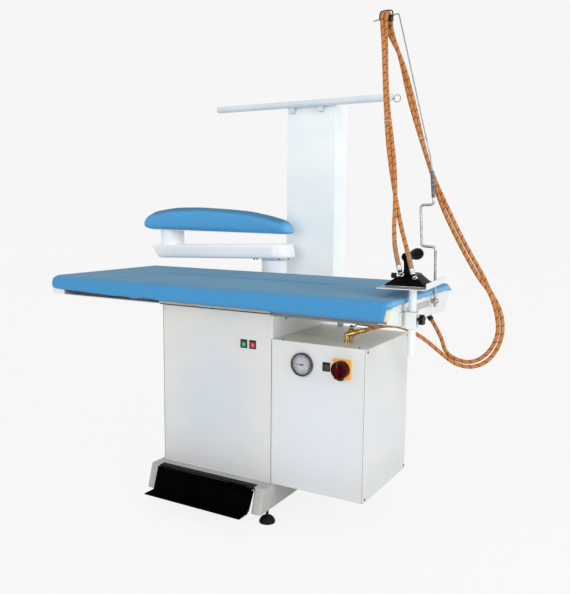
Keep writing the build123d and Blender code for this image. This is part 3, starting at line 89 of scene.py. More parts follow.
lens = bpy.data.cameras.new("studio_camera")
lens.sensor_width, lens.lens, lens.clip_end = SENSOR_MM, LENS_MM, CAMERA_REACH
camera = in_scene("studio_camera", lens)
camera.matrix_world = Matrix.Translation(CAMERA_PLACE) @ Matrix(
    camera_axes(CAMERA_YAW, CAMERA_PITCH, CAMERA_ROLL)).transposed().to_4x4()
bpy.context.scene.camera = camera
bpy.context.scene.view_settings.view_transform = "Standard"
print("camera at", tuple(round(v, 3) for v in camera.location))

# %% [markdown]
# ## Meshes from rings of points
# Every piece below is a skin over rings of points. Blender's own primitives could be bent and joined
# by hand, but one function that joins rings makes boxes, hulls, cloth and tubes alike, and its
# numbers can be read and changed.

# %% Skins over rings
def mesh_piece(name, points, faces, smooth=True):
    """Make a piece from points and faces, with its normals outward."""
    mesh = bpy.data.meshes.new(name)
    mesh.from_pydata([tuple(p) for p in points], [], faces)
    form = bmesh.new()
    form.from_mesh(mesh)
    bmesh.ops.recalc_face_normals(form, faces=form.faces)
    form.to_mesh(mesh)
    form.free()
    for face in mesh.polygons:
        face.use_smooth = smooth
    return in_scene(name, mesh)


def skin(rings, caps=True, around=True, loop=False):
    """Faces that join rings of equal length. caps closes the ends, loop joins the last to the first."""
    count, total = len(rings[0]), len(rings)
    faces = []
    for ring in range(total if loop else total - 1):
        a, b = ring * count, (ring + 1) % total * count
        for step in range(count if around else count - 1):
            nxt = (step + 1) % count
            faces.append((a + step, a + nxt, b + nxt, b + step))
    if caps and not loop:
        faces.append(tuple(range(count))[::-1])
        faces.append(tuple((total - 1) * count + step for step in range(count)))
    return faces


def lofted(name, rings, caps=True, around=True, loop=False, smooth=True):
    """A piece whose skin runs over rings of points."""
    return mesh_piece(name, [p for ring in rings for p in ring], skin(rings, caps, around, loop), smooth)


def section_along_x(name, section, stations):
    """A plain bar: one (y, z) section repeated at some places along x."""
    return lofted(name, [[Vector((x, y, z)) for y, z in section] for x in stations], smooth=False)


print("a closed tube of 3 rings of 8 points has", len(skin([range(8)] * 3)), "faces")

# %% [markdown]
# ## Tubes and turned parts
# A hose, a wire and a rod are one round section swept along a path, and a ferrule, a nut and a grip
# are one profile turned around an axis, as on a lathe. Curve objects with a bevel could sweep too,
# but here the tube also gets a UV map in metres, which the braid of the hoses needs.

# %% Sweep a round section
def circle(centre, across, other, radius, sides):
    """Points around a centre, in the plane of two directions."""
    turns = [2 * pi * k / sides for k in range(sides)]
    return [centre + (across * cos(t) + other * sin(t)) * radius for t in turns]


def frames_along(path):
    """A pair of directions across the path at each of its points, turned as little as possible."""
    tangents = []
    for i in range(len(path)):
        tangents.append((path[min(i + 1, len(path) - 1)] - path[max(i - 1, 0)]).normalized())
    side = tangents[0].orthogonal().normalized()
    pairs = []
    for tangent in tangents:
        side = (side - tangent * side.dot(tangent)).normalized()
        pairs.append((side, tangent.cross(side)))
    return pairs


def swept_tube(name, path, radius, sides=16):
    """A round tube along a path. radius is a number or a function of the distance along the path.
    Its UV map holds the turn around the tube and the distance along it in metres."""
    travelled = [0.0]
    for a, b in zip(path, path[1:]):
        travelled.append(travelled[-1] + (b - a).length)
    size = radius if callable(radius) else (lambda s: radius)
    piece = lofted(name, [circle(point, x, y, size(s), sides)
                          for point, (x, y), s in zip(path, frames_along(path), travelled)])
    layer = piece.data.uv_layers.new(name="along_tube")
    for face in piece.data.polygons:
        spots = [(v % sides, v // sides) for v in face.vertices]
        wraps = len(face.vertices) == 4 and max(s[0] for s in spots) - min(s[0] for s in spots) > 1
        for corner, (step, ring) in zip(face.loop_indices, spots):
            turn = step + sides if wraps and step == 0 else step
            layer.data[corner].uv = (turn / sides, travelled[ring])
    return piece


corners = circle(Vector(), Vector((1, 0, 0)), Vector((0, 1, 0)), 1, 4)
print("four points on a circle", [tuple(round(v) for v in corner) for corner in corners])


# %% Turn a profile
def turned(name, profile, place, axis, sides=48, loop=False):
    """A piece turned on a lathe: profile is (radius, height) pairs along axis from place."""
    axis = Vector(axis).normalized()
    across = axis.orthogonal().normalized()
    other = axis.cross(across)
    rings = [circle(Vector(place) + axis * height, across, other, max(radius, 1e-5), sides)
             for radius, height in profile]
    return lofted(name, rings, caps=not loop, loop=loop)


print("turned pieces have", turned.__defaults__[0], "sides unless told otherwise")

# %% [markdown]
# ## Edges, joining and measuring
# Real edges are never sharp, so a bevel rolls them and a highlight runs along them. Small parts that
# belong together become one mesh, which keeps the list of pieces short.

# %% Edges and joining
def rounded_edges(piece, width, segments=3, angle=35):
    """Bevel a piece's sharp edges and keep its flats flat."""
    modifier = piece.modifiers.new("rounded_edges", "BEVEL")
    modifier.width, modifier.segments, modifier.limit_method = width, segments, "ANGLE"
    modifier.angle_limit = radians(angle)
    modifier.harden_normals = True
    return piece


def joined(name, pieces):
    """Join pieces into the first one and name the result."""
    bpy.context.view_layer.update()
    form = bmesh.new()
    for piece in pieces:
        copy = piece.data.copy()
        copy.transform(piece.matrix_world)
        form.from_mesh(copy)
        bpy.data.meshes.remove(copy)
        bpy.data.objects.remove(piece)
    mesh = bpy.data.meshes.new(name)
    form.to_mesh(mesh)
    form.free()
    return in_scene(name, mesh)


def mid(node):
    """The middle of a node's box."""
    low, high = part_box(node)
    return (low + high) / 2


print("the board's tray has its middle at", tuple(round(v, 3) for v in mid("board_tray")))

# %% [markdown]
# ## Materials
# A material is one Principled shader with a few nodes in front of it. Wiring them by hand takes many
# lines, so one function feeds a node's inputs by their names, with plain values or with the outputs
# of other nodes, and the rest are short names for the nodes that are used most.

# %% Feed shader nodes
def feed(tree, node, **values):
    """Set or link a node's inputs by name. What names no input is set as the node's property."""
    for key, value in values.items():
        label = key.replace("_", " ")
        if label not in node.inputs:
            setattr(node, key, value)
        elif hasattr(value, "is_linked"):
            tree.links.new(value, node.inputs[label])
        else:
            node.inputs[label].default_value = value
    return node


def add_node(tree, kind, **values):
    return feed(tree, tree.nodes.new(kind), **values)


def shade(tree, **values):
    """Feed the material's Principled shader."""
    return feed(tree, tree.nodes["Principled BSDF"], **values)


print("materials before the first finish", len(bpy.data.materials))


# %% Make and wear finishes
def finish_material(name, colour=(0.8, 0.8, 0.8), roughness=0.5, metallic=0.0, **sockets):
    """A material with a Principled shader. Extra sockets are given by name with _ for a space."""
    material = bpy.data.materials.new(name)
    material.use_nodes = True
    shade(material.node_tree, Base_Color=(*colour, 1), Roughness=roughness, Metallic=metallic, **sockets)
    return material


def wear(piece, material):
    """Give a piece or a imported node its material."""
    if not piece.data.materials:
        piece.data.materials.append(material)
    for spare in range(len(piece.data.materials)):
        piece.data.materials[spare] = material
    return piece


def fitted(piece, material, body, slot, replaces=True):
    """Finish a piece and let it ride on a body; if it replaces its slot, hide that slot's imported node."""
    wear(piece, material)
    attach(piece, body)
    if replaces:
        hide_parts(slot)
    return piece


print("packed nodes that wait for a finish", len(nodes))

# %% [markdown]
# ## Floor and sky
# The machine stands on a pale seamless floor. Lighting a floor until it is white would wash out the
# white paint, so the floor keeps a plain pale colour, and only rays from the camera and from mirrors
# see most of it as an even glow. What is left of its diffuse shading holds the soft shadow. The sky
# does the same: it lights the paint evenly, and the camera sees it in the floor's pale tone.

# %% Tell rays apart
def background_rays(tree):
    """1 for rays from the camera, from mirrors and through glass, 0 for the rest."""
    path = add_node(tree, "ShaderNodeLightPath")
    seen = path.outputs["Is Camera Ray"]
    for other in ("Is Glossy Ray", "Is Transmission Ray"):
        seen = maths(tree, "MAXIMUM", seen, path.outputs[other])
    return seen


def mixed_shaders(tree, factor, first, second, output):
    """Mix two shaders and put the result out."""
    mix = add_node(tree, "ShaderNodeMixShader", Fac=factor)
    for slot, shader in zip((1, 2), (first, second)):
        tree.links.new(shader.outputs[0], mix.inputs[slot])
    feed(tree, tree.nodes[output], Surface=mix.outputs[0])


def maths(tree, operation, *terms):
    """A Math node fed by sockets or numbers."""
    node = add_node(tree, "ShaderNodeMath", operation=operation)
    for slot, value in zip(node.inputs, terms):
        if hasattr(value, "is_linked"):
            tree.links.new(value, slot)
        else:
            slot.default_value = value
    return node.outputs[0]


print("mirrors and glass see the background as the camera does")

# %% Build the floor and the sky
PALE, FLOOR_COLOUR, FLOOR_REACH = 0.921, 0.88, 14.0
FLOOR_GLOW, FLOOR_SHINE = 0.92, 0.943
SKY_STRENGTH = 0.80
floor_material = finish_material("studio_floor", (FLOOR_COLOUR,) * 3, 0.9, Specular_IOR_Level=0.0)
tree = floor_material.node_tree
mixed_shaders(tree, maths(tree, "MULTIPLY", background_rays(tree), FLOOR_GLOW),
              tree.nodes["Principled BSDF"],
              add_node(tree, "ShaderNodeEmission", Color=(*(FLOOR_SHINE,) * 3, 1)), "Material Output")
corners = [(FLOOR_REACH * x, FLOOR_REACH * y, 0) for x, y in ((-1, -1), (1, -1), (1, 1), (-1, 1))]
floor = wear(mesh_piece("studio_floor", corners, [(0, 1, 2, 3)], smooth=False), floor_material)

world = bpy.data.worlds.new("studio_world")
bpy.context.scene.world = world
world.use_nodes = True
sky = world.node_tree
fill = feed(sky, sky.nodes["Background"], Color=(1.0, 1.0, 1.0, 1), Strength=SKY_STRENGTH)
mixed_shaders(sky, background_rays(sky), fill,
              add_node(sky, "ShaderNodeBackground", Color=(*(PALE,) * 3, 1), Strength=1.0), "World Output")
print("floor reaches", FLOOR_REACH, "m, sky strength", SKY_STRENGTH)

# %% [markdown]
# ## Lamps
# Two large area lamps, one near the viewer and one from the right, give the sides of the cabinet
# their tones. Small lamps would draw hard shadows, which a studio with softboxes does not have.

# %% Hang the softboxes
SOFTBOX_SIZE, FRONT_POWER, RIGHT_POWER = 2.4, 44.0, 84.0


def softbox(name, place, aim, power):
    """A square area lamp at a place, turned towards a point."""
    lamp = bpy.data.lights.new(name, "AREA")
    lamp.shape, lamp.size, lamp.energy = "SQUARE", SOFTBOX_SIZE, power
    direction = Vector(aim) - Vector(place)
    in_scene(name, lamp).matrix_world = (Matrix.Translation(place)
                                         @ direction.to_track_quat("-Z", "Y").to_matrix().to_4x4())


softbox("front_softbox", (0.4, -4.2, 1.5), (0.1, 0.0, 0.75), FRONT_POWER)
softbox("right_softbox", (4.6, -1.2, 2.4), (0.2, 0.0, 0.7), RIGHT_POWER)
print("lamps", [lamp.name for lamp in bpy.data.lights])

# %% [markdown]
# ## Hoses
# Two hoses of braided cotton carry steam and the iron's cable. They rise from the iron, fold over a
# saddle at the top of a spring whip and fall in one long curve to the boiler. Each is a fixed length
# of hose, so its line is one NURBS curve whose control points are the places where the hose turns. A
# tube is then swept along points read from that curve, which gives it a UV map for its braid.

# %% Lay out the hose routes
STEAM_ROUTE = [
    (731, -322, 915), (718, -313, 950), (679, -275, 1027), (652, -245, 1092),
    (628, -216, 1152), (602, -191, 1237), (577, -158, 1320), (556, -127, 1420),
    (536, -97, 1530), (521, -75, 1642), (508, -60, 1700), (507, -60, 1746), (507, -20, 1746),
    (510, -19, 1694), (563, -16, 1604), (606, -4, 1462), (647, 0, 1300), (678, 1, 1214),
    (724, -1, 1123), (797, -1, 985), (868, -2, 874), (886, -1, 834),
    (931, -4, 765), (941, -8, 684), (912, -18, 610), (860, -28, 572), (798, -42, 576),
    (748, -60, 617), (706, -88, 660), (667, -129, 694), (632, -168, 714),
    (590, -202, 714), (540, -211, 697),
]
CABLE_ROUTE = [
    (689, -322, 925), (671, -310, 971), (657, -286, 1030), (648, -259, 1090),
    (636, -229, 1150), (615, -187, 1236), (589, -151, 1320), (559, -114, 1420),
    (537, -83, 1530), (524, -61, 1642), (522, -60, 1700), (522, -60, 1746), (522, -20, 1746),
    (524, -17, 1692), (556, -3, 1602), (592, -11, 1462), (650, -13, 1300), (682, -12, 1214),
    (711, -8, 1118), (784, -3, 977), (857, -6, 862), (890, -14, 832),
    (917, -9, 760), (927, -13, 688), (899, -18, 624), (852, -28, 588), (800, -34, 591),
    (757, -36, 614), (742, -35, 668), (704, -31, 722),
]
HOSE_DIAMETER = 0.0135
print("control points", len(STEAM_ROUTE), "and", len(CABLE_ROUTE))


# %% Draw the routes as smooth lines
def evaluated_mesh(piece):
    """A piece's mesh with its modifiers, text or curve worked out."""
    bpy.context.view_layer.update()
    graph = bpy.context.evaluated_depsgraph_get()
    return bpy.data.meshes.new_from_object(piece.evaluated_get(graph))


def smooth_line(name, route, steps=12):
    """Points along the NURBS curve that has the route as its control points, in metres."""
    curve = bpy.data.curves.new(name + "_line", "CURVE")
    curve.dimensions = "3D"
    curve.resolution_u = steps
    spline = curve.splines.new("NURBS")
    spline.points.add(len(route) - 1)
    for point, (x, y, z) in zip(spline.points, route):
        point.co = (x * MM, y * MM, z * MM, 1)
    spline.order_u = 3
    spline.use_endpoint_u = True
    holder = in_scene(name + "_line", curve)
    line = evaluated_mesh(holder)
    points = [v.co.copy() for v in line.vertices]
    bpy.data.meshes.remove(line)
    bpy.data.objects.remove(holder)
    return points


def line_length(points):
    return sum((b - a).length for a, b in zip(points, points[1:]))


hose_lines = {name: smooth_line(name, route)
              for name, route in (("steam_hose", STEAM_ROUTE), ("cable_hose", CABLE_ROUTE))}
for name, line in hose_lines.items():
    print(name, "line is", round(line_length(line), 3), "m long, from", len(line), "points")

# %% [markdown]
# ## Braided cotton
# A braid is two families of threads that cross. It could be modelled thread by thread, but at this
# size two waves along the UV map of the tube give the same ridges as bump. A black tracer thread
# winds round the hose once every 27 mm, as on cotton-braided steam hoses, and shows as short dashes.

# %% Helpers for node groups
def group(name, inputs, outputs):
    """A shader node group. Its float inputs have defaults and its outputs are floats."""
    tree = bpy.data.node_groups.new(name, "ShaderNodeTree")
    for label, default in inputs.items():
        socket = tree.interface.new_socket(name=label, in_out="INPUT", socket_type="NodeSocketFloat")
        socket.default_value = default
    for label in outputs:
        tree.interface.new_socket(name=label, in_out="OUTPUT", socket_type="NodeSocketFloat")
    return tree, tree.nodes.new("NodeGroupInput").outputs, tree.nodes.new("NodeGroupOutput")


def use_group(tree, made, **values):
    """Place a group in a material with its own values, and return its outputs."""
    node = add_node(tree, "ShaderNodeGroup")
    node.node_tree = made
    return feed(tree, node, **values).outputs


def crossing_waves(tree, phases):
    """Ridges where two families of threads run: the higher of their rectified waves."""
    waves = [maths(tree, "ABSOLUTE", maths(tree, "SINE", phase)) for phase in phases]
    return maths(tree, "MAXIMUM", *waves)


def split_axes(tree, vector):
    return add_node(tree, "ShaderNodeSeparateXYZ", Vector=vector).outputs


print("node groups so far", len(bpy.data.node_groups))


# %% Make the braid group
def make_braid_group():
    tree, given, put = group("braided_thread", {"Threads": 12.0, "Pitch": 0.0085, "Tracer Pitch": 0.027,
                                                "Tracer Width": 0.135}, ("Height", "Tracer", "Valley"))
    axes = split_axes(tree, add_node(tree, "ShaderNodeUVMap", uv_map="along_tube").outputs[0])
    around, along = axes[0], axes[1]
    turns = maths(tree, "MULTIPLY", around, given["Threads"])
    climb = maths(tree, "DIVIDE", along, given["Pitch"])
    height = crossing_waves(tree, [maths(tree, "MULTIPLY", maths(tree, operation, turns, climb), pi)
                                   for operation in ("ADD", "SUBTRACT")])
    tracer_climb = maths(tree, "DIVIDE", along, given["Tracer Pitch"])
    phase = maths(tree, "FRACT", maths(tree, "SUBTRACT", tracer_climb, around))
    feed(tree, put, Height=height, Valley=maths(tree, "SUBTRACT", 1.0, height),
         Tracer=maths(tree, "LESS_THAN", phase, given["Tracer Width"]))
    return tree


braided_thread = make_braid_group()
print("group", braided_thread.name)


# %% Make the hose material
def blend_colours(tree, factor, first, second):
    """A colour mix fed by sockets or by plain red, green and blue."""
    node = add_node(tree, "ShaderNodeMix", data_type="RGBA", blend_type="MIX")
    for slot, value in zip((node.inputs[0], node.inputs[6], node.inputs[7]), (factor, first, second)):
        if hasattr(value, "is_linked"):
            tree.links.new(value, slot)
        else:
            slot.default_value = (*value, 1) if slot.type == "RGBA" else value
    return node.outputs[2]


def bump(tree, height, distance, strength=1.0):
    """Turn a height into a normal on the material's Principled shader."""
    node = add_node(tree, "ShaderNodeBump", Strength=strength, Distance=distance, Height=height)
    shade(tree, Normal=node.outputs[0])


def object_places(tree):
    """A point's place on its object, in metres. Objects here have the world's axes at rest."""
    return add_node(tree, "ShaderNodeTexCoord").outputs["Object"]


def braid_material(name, thread, thread_dark, tracer):
    """Cotton braid in one colour with a black tracer thread, and painted shade in its valleys."""
    material = finish_material(name, thread, 0.62, Sheen_Weight=0.15)
    tree = material.node_tree
    braid = use_group(tree, braided_thread)
    spots = add_node(tree, "ShaderNodeTexNoise", Scale=38.0, Detail=3.0, Vector=object_places(tree))
    drawn = blend_colours(tree, spots.outputs["Fac"], thread, thread_dark)
    # painted shade: the valleys between the threads are darkened in the colour
    drawn = blend_colours(tree, maths(tree, "MULTIPLY", braid["Valley"], 0.55), drawn, thread_dark)
    drawn = blend_colours(tree, maths(tree, "MULTIPLY", braid["Tracer"], 0.93), drawn, tracer)
    shade(tree, Base_Color=drawn)
    bump(tree, braid["Height"], 0.0005, 0.8)
    return material


orange_braid = braid_material("orange_cotton_braid", (0.62, 0.245, 0.042), (0.37, 0.105, 0.014),
                              (0.022, 0.010, 0.006))
print("braid material", orange_braid.name)

# %% [markdown]
# ## The hoses as pieces
# At the iron the hoses move with it, and from the saddle on they stay with the machine. Here each piece is
# only fixed in place; none of it bends to follow the iron.


def follows_iron(piece):
    """Work a piece's placing into its mesh. It does not bend with the iron."""
    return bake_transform(piece)


def first_part(points, length):
    """The stretch of a line up to a distance from its start."""
    kept, s = [points[0]], 0.0
    for a, b in zip(points, points[1:]):
        run = (b - a).length
        if s + run >= length:
            return kept + [a.lerp(b, (length - s) / run)]
        kept.append(b)
        s += run


# %% Make the shrink sleeves' material
shrink_material = finish_material("amber_shrink_sleeve", (0.40, 0.19, 0.08), 0.32, Coat_Weight=0.15)
tree = shrink_material.node_tree
tracer = maths(tree, "MULTIPLY", use_group(tree, braided_thread)["Tracer"], 0.6)
under = blend_colours(tree, tracer, (0.46, 0.215, 0.075), (0.06, 0.025, 0.01))
ripple = add_node(tree, "ShaderNodeTexNoise", Scale=90.0, Detail=2.0).outputs["Fac"]
shade(tree, Base_Color=blend_colours(tree, ripple, under, (0.20, 0.115, 0.065)))
bump(tree, ripple, 0.0006, 0.6)
print("sleeve material", shrink_material.name)

# %% Sweep the hoses
SHRINK_LENGTH = {"steam_hose": 0.068, "cable_hose": 0.076}
SHRINK_WALL, SHRINK_TAPER = 0.0006, 0.004
HOSE_SIDES = 20


def shrink_radius(travelled, length):
    """Radius of a shrink sleeve, which thins out at its far end."""
    return HOSE_DIAMETER / 2 + SHRINK_WALL * min(1.0, (length - travelled) / SHRINK_TAPER)


hoses, shrink_sleeves = {}, {}
for name, line in hose_lines.items():
    hose = wear(swept_tube(name + "_braid", line, HOSE_DIAMETER / 2, HOSE_SIDES), orange_braid)
    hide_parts(name)
    length = SHRINK_LENGTH[name]
    sleeve = wear(swept_tube(name + "_shrink_sleeve", first_part(line, length),
                             lambda s: shrink_radius(s, length), HOSE_SIDES), shrink_material)
    for piece in (hose, sleeve):
        follows_iron(piece)
    hoses[name], shrink_sleeves[name] = hose, sleeve
print("hoses", [h.name for h in hoses.values()])

# %% [markdown]
# ## Cable ties
# Nylon ties hold the two hoses side by side. Each is a flat band that goes round both, with a small
# square head and a cut tail. A band is a stadium shape, so its path is two half circles and two runs.

# %% Give the ties their nylon
tie_material = finish_material("natural_nylon_tie", (0.50, 0.40, 0.30), 0.38, Coat_Weight=0.2)
tree = tie_material.node_tree
ribs = add_node(tree, "ShaderNodeTexWave", Scale=260.0, Distortion=0.0, Vector=object_places(tree))
bump(tree, ribs.outputs["Fac"], 0.0002, 0.4)
print("tie material", tie_material.name)

# %% Shape a cable tie
TIE_WIDTH, TIE_THICKNESS = 0.0036, 0.0012
TIE_HEAD = ((-0.0022, 0.8), (-0.0018, 1.0), (0.0018, 1.0), (0.0022, 0.8))
HEAD_WIDTH, HEAD_LENGTH, HEAD_LIFT = 0.0028, 0.0026, 0.0016
TAIL_RADIUS, BAND_STEPS = 0.0011, 12
SQUARE = ((-1, -1), (1, -1), (1, 1), (-1, 1))


def nearest(line, height, rising):
    """The line's point and direction at a height on its rising or falling strand."""
    top = max(range(len(line)), key=lambda i: line[i].z)
    strand = range(1, top) if rising else range(top, len(line) - 1)
    i = min(strand, key=lambda k: abs(line[k].z - height))
    return line[i], (line[i + 1] - line[i - 1]).normalized()


def cable_tie(name, height, rising):
    """A tie round both hoses at a height."""
    first, along = nearest(hose_lines["cable_hose"], height, rising)
    span = min(hose_lines["steam_hose"], key=lambda p: (p - first).length) - first
    span -= along * span.dot(along)
    side = span.normalized()
    front = along.cross(side)
    if front.y > 0:
        front = -front
    reach = HOSE_DIAMETER / 2 + TIE_THICKNESS / 2
    rings = []
    for centre, start in ((first + span, -pi / 2), (first, pi / 2)):
        for step in range(BAND_STEPS + 1):
            turn = start + pi * step / BAND_STEPS
            out = side * cos(turn) + front * sin(turn)
            rings.append([centre + out * (reach + t * TIE_THICKNESS / 2) + along * w * TIE_WIDTH / 2
                          for w, t in SQUARE])
    loop = lofted(name + "_band", rings, loop=True, smooth=False)
    seat = first + span / 2 + front * (reach + HEAD_LIFT)
    corners = [side * a * HEAD_WIDTH + along * b * HEAD_LENGTH for a, b in SQUARE]
    head = lofted(name + "_head", [[seat + front * step + corner * size for corner in corners]
                                   for step, size in TIE_HEAD], smooth=False)
    tail = swept_tube(name + "_tail", [seat + front * 0.001 + side * d for d in (0.002, 0.006, 0.010)],
                      TAIL_RADIUS, 6)
    return wear(joined(name, [loop, head, tail]), tie_material)


print("a tie is", TIE_WIDTH, "m wide and stands", TIE_THICKNESS, "m out")

# %% Bind the hoses with ties
TIES = {"front_tie": (1.372, True), "rear_tie": (1.334, False)}
for name, (height, rising) in TIES.items():
    tie = cable_tie(name, height, rising)
    if rising:
        follows_iron(tie)
    else:
        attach(tie, "machine")
print("ties", list(TIES))

for name, hose in hoses.items():
    line = hose_lines[name]

# %% [markdown]
# ## Finishes shared by many parts
# Sheet steel with powder coat is never one flat colour: it reflects its room in soft clouds, which are
# painted into its colour as a painted reflection, has a fine orange peel and shows brighter metal where its
# edges rub. Each of these effects is used by several materials, so each is a node group that is built once.
# Image textures could do it as well, but noise in object coordinates has its right size on every part,
# because all parts are in metres.

# %% Groups made from noise
def remap(tree, value, low, high, to_low=0.0, to_high=1.0):
    """A smooth step of a value between two limits."""
    return add_node(tree, "ShaderNodeMapRange", interpolation_type="SMOOTHSTEP", Value=value, From_Min=low,
                    From_Max=high, To_Min=to_low, To_Max=to_high).outputs["Result"]


def noise_in(tree, scale, detail=2.0, stretch=None):
    """Noise in object coordinates. scale is a number or a socket, stretch squeezes its axes."""
    where = object_places(tree)
    if stretch:
        where = add_node(tree, "ShaderNodeMapping", Scale=stretch, Vector=where).outputs[0]
    return add_node(tree, "ShaderNodeTexNoise", Scale=scale, Detail=detail, Vector=where).outputs["Fac"]


def make_clouds():
    tree, given, put = group("soft_clouds", {"Scale": 6.0, "Contrast": 0.16}, ("Cloud",))
    field = noise_in(tree, given["Scale"], 3.0, (1.0, 1.0, 1.6))
    limits = [maths(tree, operation, 0.5, given["Contrast"]) for operation in ("SUBTRACT", "ADD")]
    feed(tree, put, Cloud=remap(tree, field, *limits))
    return tree


def make_orange_peel():
    tree, given, put = group("orange_peel", {"Scale": 420.0}, ("Height",))
    feed(tree, put, Height=noise_in(tree, given["Scale"], 1.0))
    return tree


def make_weave():
    tree, given, put = group("plain_weave", {"Threads per Metre": 900.0}, ("Height", "Valley"))
    axes = split_axes(tree, object_places(tree))
    turn = maths(tree, "MULTIPLY", given["Threads per Metre"], pi)
    weft = maths(tree, "ADD", axes["Y"], axes["Z"])
    height = crossing_waves(tree, [maths(tree, "MULTIPLY", line, turn) for line in (axes["X"], weft)])
    feed(tree, put, Height=height, Valley=maths(tree, "SUBTRACT", 1.0, height))
    return tree


soft_clouds, orange_peel, plain_weave = make_clouds(), make_orange_peel(), make_weave()
print("groups", [g.name for g in bpy.data.node_groups])


# %% Groups made from places and directions
def make_middle():
    """How near a point is to the middle and to the foot of its own part's box, seen from the front."""
    tree, given, put = group("middle_of_panel", {"Reach": 0.62}, ("Middle", "Foot"))
    axes = split_axes(tree, add_node(tree, "ShaderNodeTexCoord").outputs["Generated"])
    across = maths(tree, "SUBTRACT", axes["X"], 0.5)
    height = maths(tree, "SUBTRACT", axes["Z"], 0.42)
    far = maths(tree, "SQRT", maths(tree, "ADD", maths(tree, "MULTIPLY", across, across),
                                    maths(tree, "MULTIPLY", height, height)))
    wave = maths(tree, "MULTIPLY_ADD", noise_in(tree, 7.0, 3.0), 0.34, -0.17)
    feed(tree, put,
         Middle=remap(tree, maths(tree, "ADD", far, wave), 0.12, given["Reach"], 1.0, 0.0),
         Foot=remap(tree, maths(tree, "MULTIPLY_ADD", wave, 0.4, axes["Z"]), 0.02, 0.32, 1.0, 0.0))
    return tree


def make_worn_edge():
    """1 along sharp edges, broken up by noise, from the angle between true and rounded normals."""
    tree, given, put = group("worn_edge", {"Radius": 0.0016}, ("Edge",))
    rounder = add_node(tree, "ShaderNodeBevel", samples=4, Radius=given["Radius"])
    true = add_node(tree, "ShaderNodeNewGeometry")
    dot = add_node(tree, "ShaderNodeVectorMath", operation="DOT_PRODUCT")
    tree.links.new(rounder.outputs[0], dot.inputs[0])
    tree.links.new(true.outputs["Normal"], dot.inputs[1])
    turn = remap(tree, dot.outputs["Value"], 0.80, 0.99, 1.0, 0.0)
    rubbed = remap(tree, noise_in(tree, 60.0, 3.0), 0.38, 0.62)
    feed(tree, put, Edge=maths(tree, "MULTIPLY", turn, rubbed))
    return tree


def make_facing(name, axis, low, high):
    """1 where a surface faces along an axis, 0 where it turns away."""
    tree, given, put = group(name, {"Low": low, "High": high}, ("Mask",))
    axes = split_axes(tree, add_node(tree, "ShaderNodeNewGeometry").outputs["Normal"])
    feed(tree, put, Mask=remap(tree, axes[axis], given["Low"], given["High"]))
    return tree


middle_of_panel, worn_edge = make_middle(), make_worn_edge()
facing_up = make_facing("facing_up", "Z", 0.55, 0.97)
facing_right = make_facing("facing_right", "X", 0.35, 0.98)
facing_front = make_facing("facing_front", "Y", -0.35, -0.75)
print("groups", [g.name for g in bpy.data.node_groups])

# %% [markdown]
# ## Paint
# The cabinet, the boiler's casing, the column and the arm are folded from sheet steel and coated with white
# powder. The white coats below are lit and shaded copies of that one white: each is painted brighter or
# darker, and tinted, for the light that falls on it from its part of the room. The large front panels have
# painted cool light in their middle and painted shade towards their foot. The base is a greyer coat, the
# treadle black.

# %% Make a powder coat
def clouded(tree, scale, colour, other, swing, least):
    """Clouds of a second colour, which are also rougher: least without a cloud, swing more in it."""
    cloud = use_group(tree, soft_clouds, Scale=scale)["Cloud"]
    shade(tree, Roughness=maths(tree, "MULTIPLY_ADD", cloud, swing, least))
    return blend_colours(tree, cloud, colour, other)


def powder_coat(name, colour, cloud_colour, scale=5.0, roughness=0.42, middle=None, bare=None,
                **sockets):
    """Powder coat with soft clouds, orange peel, and perhaps painted cool light in its middle with painted
    shade at its foot, and rubbed edges.
    """
    material = finish_material(name, colour, roughness, **sockets)
    tree = material.node_tree
    # painted reflection: soft clouds of a second colour over the coat
    drawn = clouded(tree, scale, colour, cloud_colour, 0.10, roughness - 0.05)
    if middle:
        place = use_group(tree, middle_of_panel)
        # painted light and shade: a cool middle and a darker foot
        drawn = blend_colours(tree, place["Middle"], drawn, middle)
        drawn = blend_colours(tree, maths(tree, "MULTIPLY", place["Foot"], 0.09), drawn, (0.0, 0.0, 0.0))
    if bare:
        edge = use_group(tree, worn_edge)["Edge"]
        drawn = blend_colours(tree, maths(tree, "MULTIPLY", edge, 0.6), drawn, bare)
    shade(tree, Base_Color=drawn)
    bump(tree, use_group(tree, orange_peel)["Height"], 0.00025, 0.35)
    return material


print("a coat is made of", len(soft_clouds.nodes), "cloud nodes and", len(orange_peel.nodes), "peel nodes")

# %% Mix the coats
# lit and shaded copies of one white coat: their brightness and tint are painted light and shade
front_white = powder_coat("white_coat_front", (0.675, 0.67, 0.635), (0.635, 0.655, 0.655), 6.0, 0.45,
                          middle=(0.575, 0.615, 0.665))
side_white = powder_coat("white_coat_side", (0.94, 0.95, 0.92), (0.93, 0.95, 0.94), 4.0, 0.40)
casing_white = powder_coat("white_coat_casing", (0.665, 0.68, 0.665), (0.64, 0.67, 0.68), 6.0, 0.40,
                           middle=(0.64, 0.675, 0.74))
column_white = powder_coat("white_coat_column", (0.87, 0.91, 0.91), (0.82, 0.88, 0.90), 5.0, 0.36)
arm_white = powder_coat("white_coat_arm", (0.93, 0.93, 0.95), (0.89, 0.91, 0.95), 5.0, 0.34)
tray_white = powder_coat("white_coat_tray", (0.75, 0.78, 0.76), (0.69, 0.72, 0.72), 7.0, 0.45)
rest_white = powder_coat("white_coat_rest", (0.73, 0.76, 0.76), (0.69, 0.72, 0.73), 9.0, 0.40)
rail_white = powder_coat("white_coat_rail", (0.66, 0.72, 0.76), (0.60, 0.68, 0.74), 9.0, 0.38)
lid_grey = powder_coat("grey_lid", (0.64, 0.63, 0.56), (0.60, 0.59, 0.53), 7.0, 0.34,
                       bare=(0.70, 0.69, 0.66))
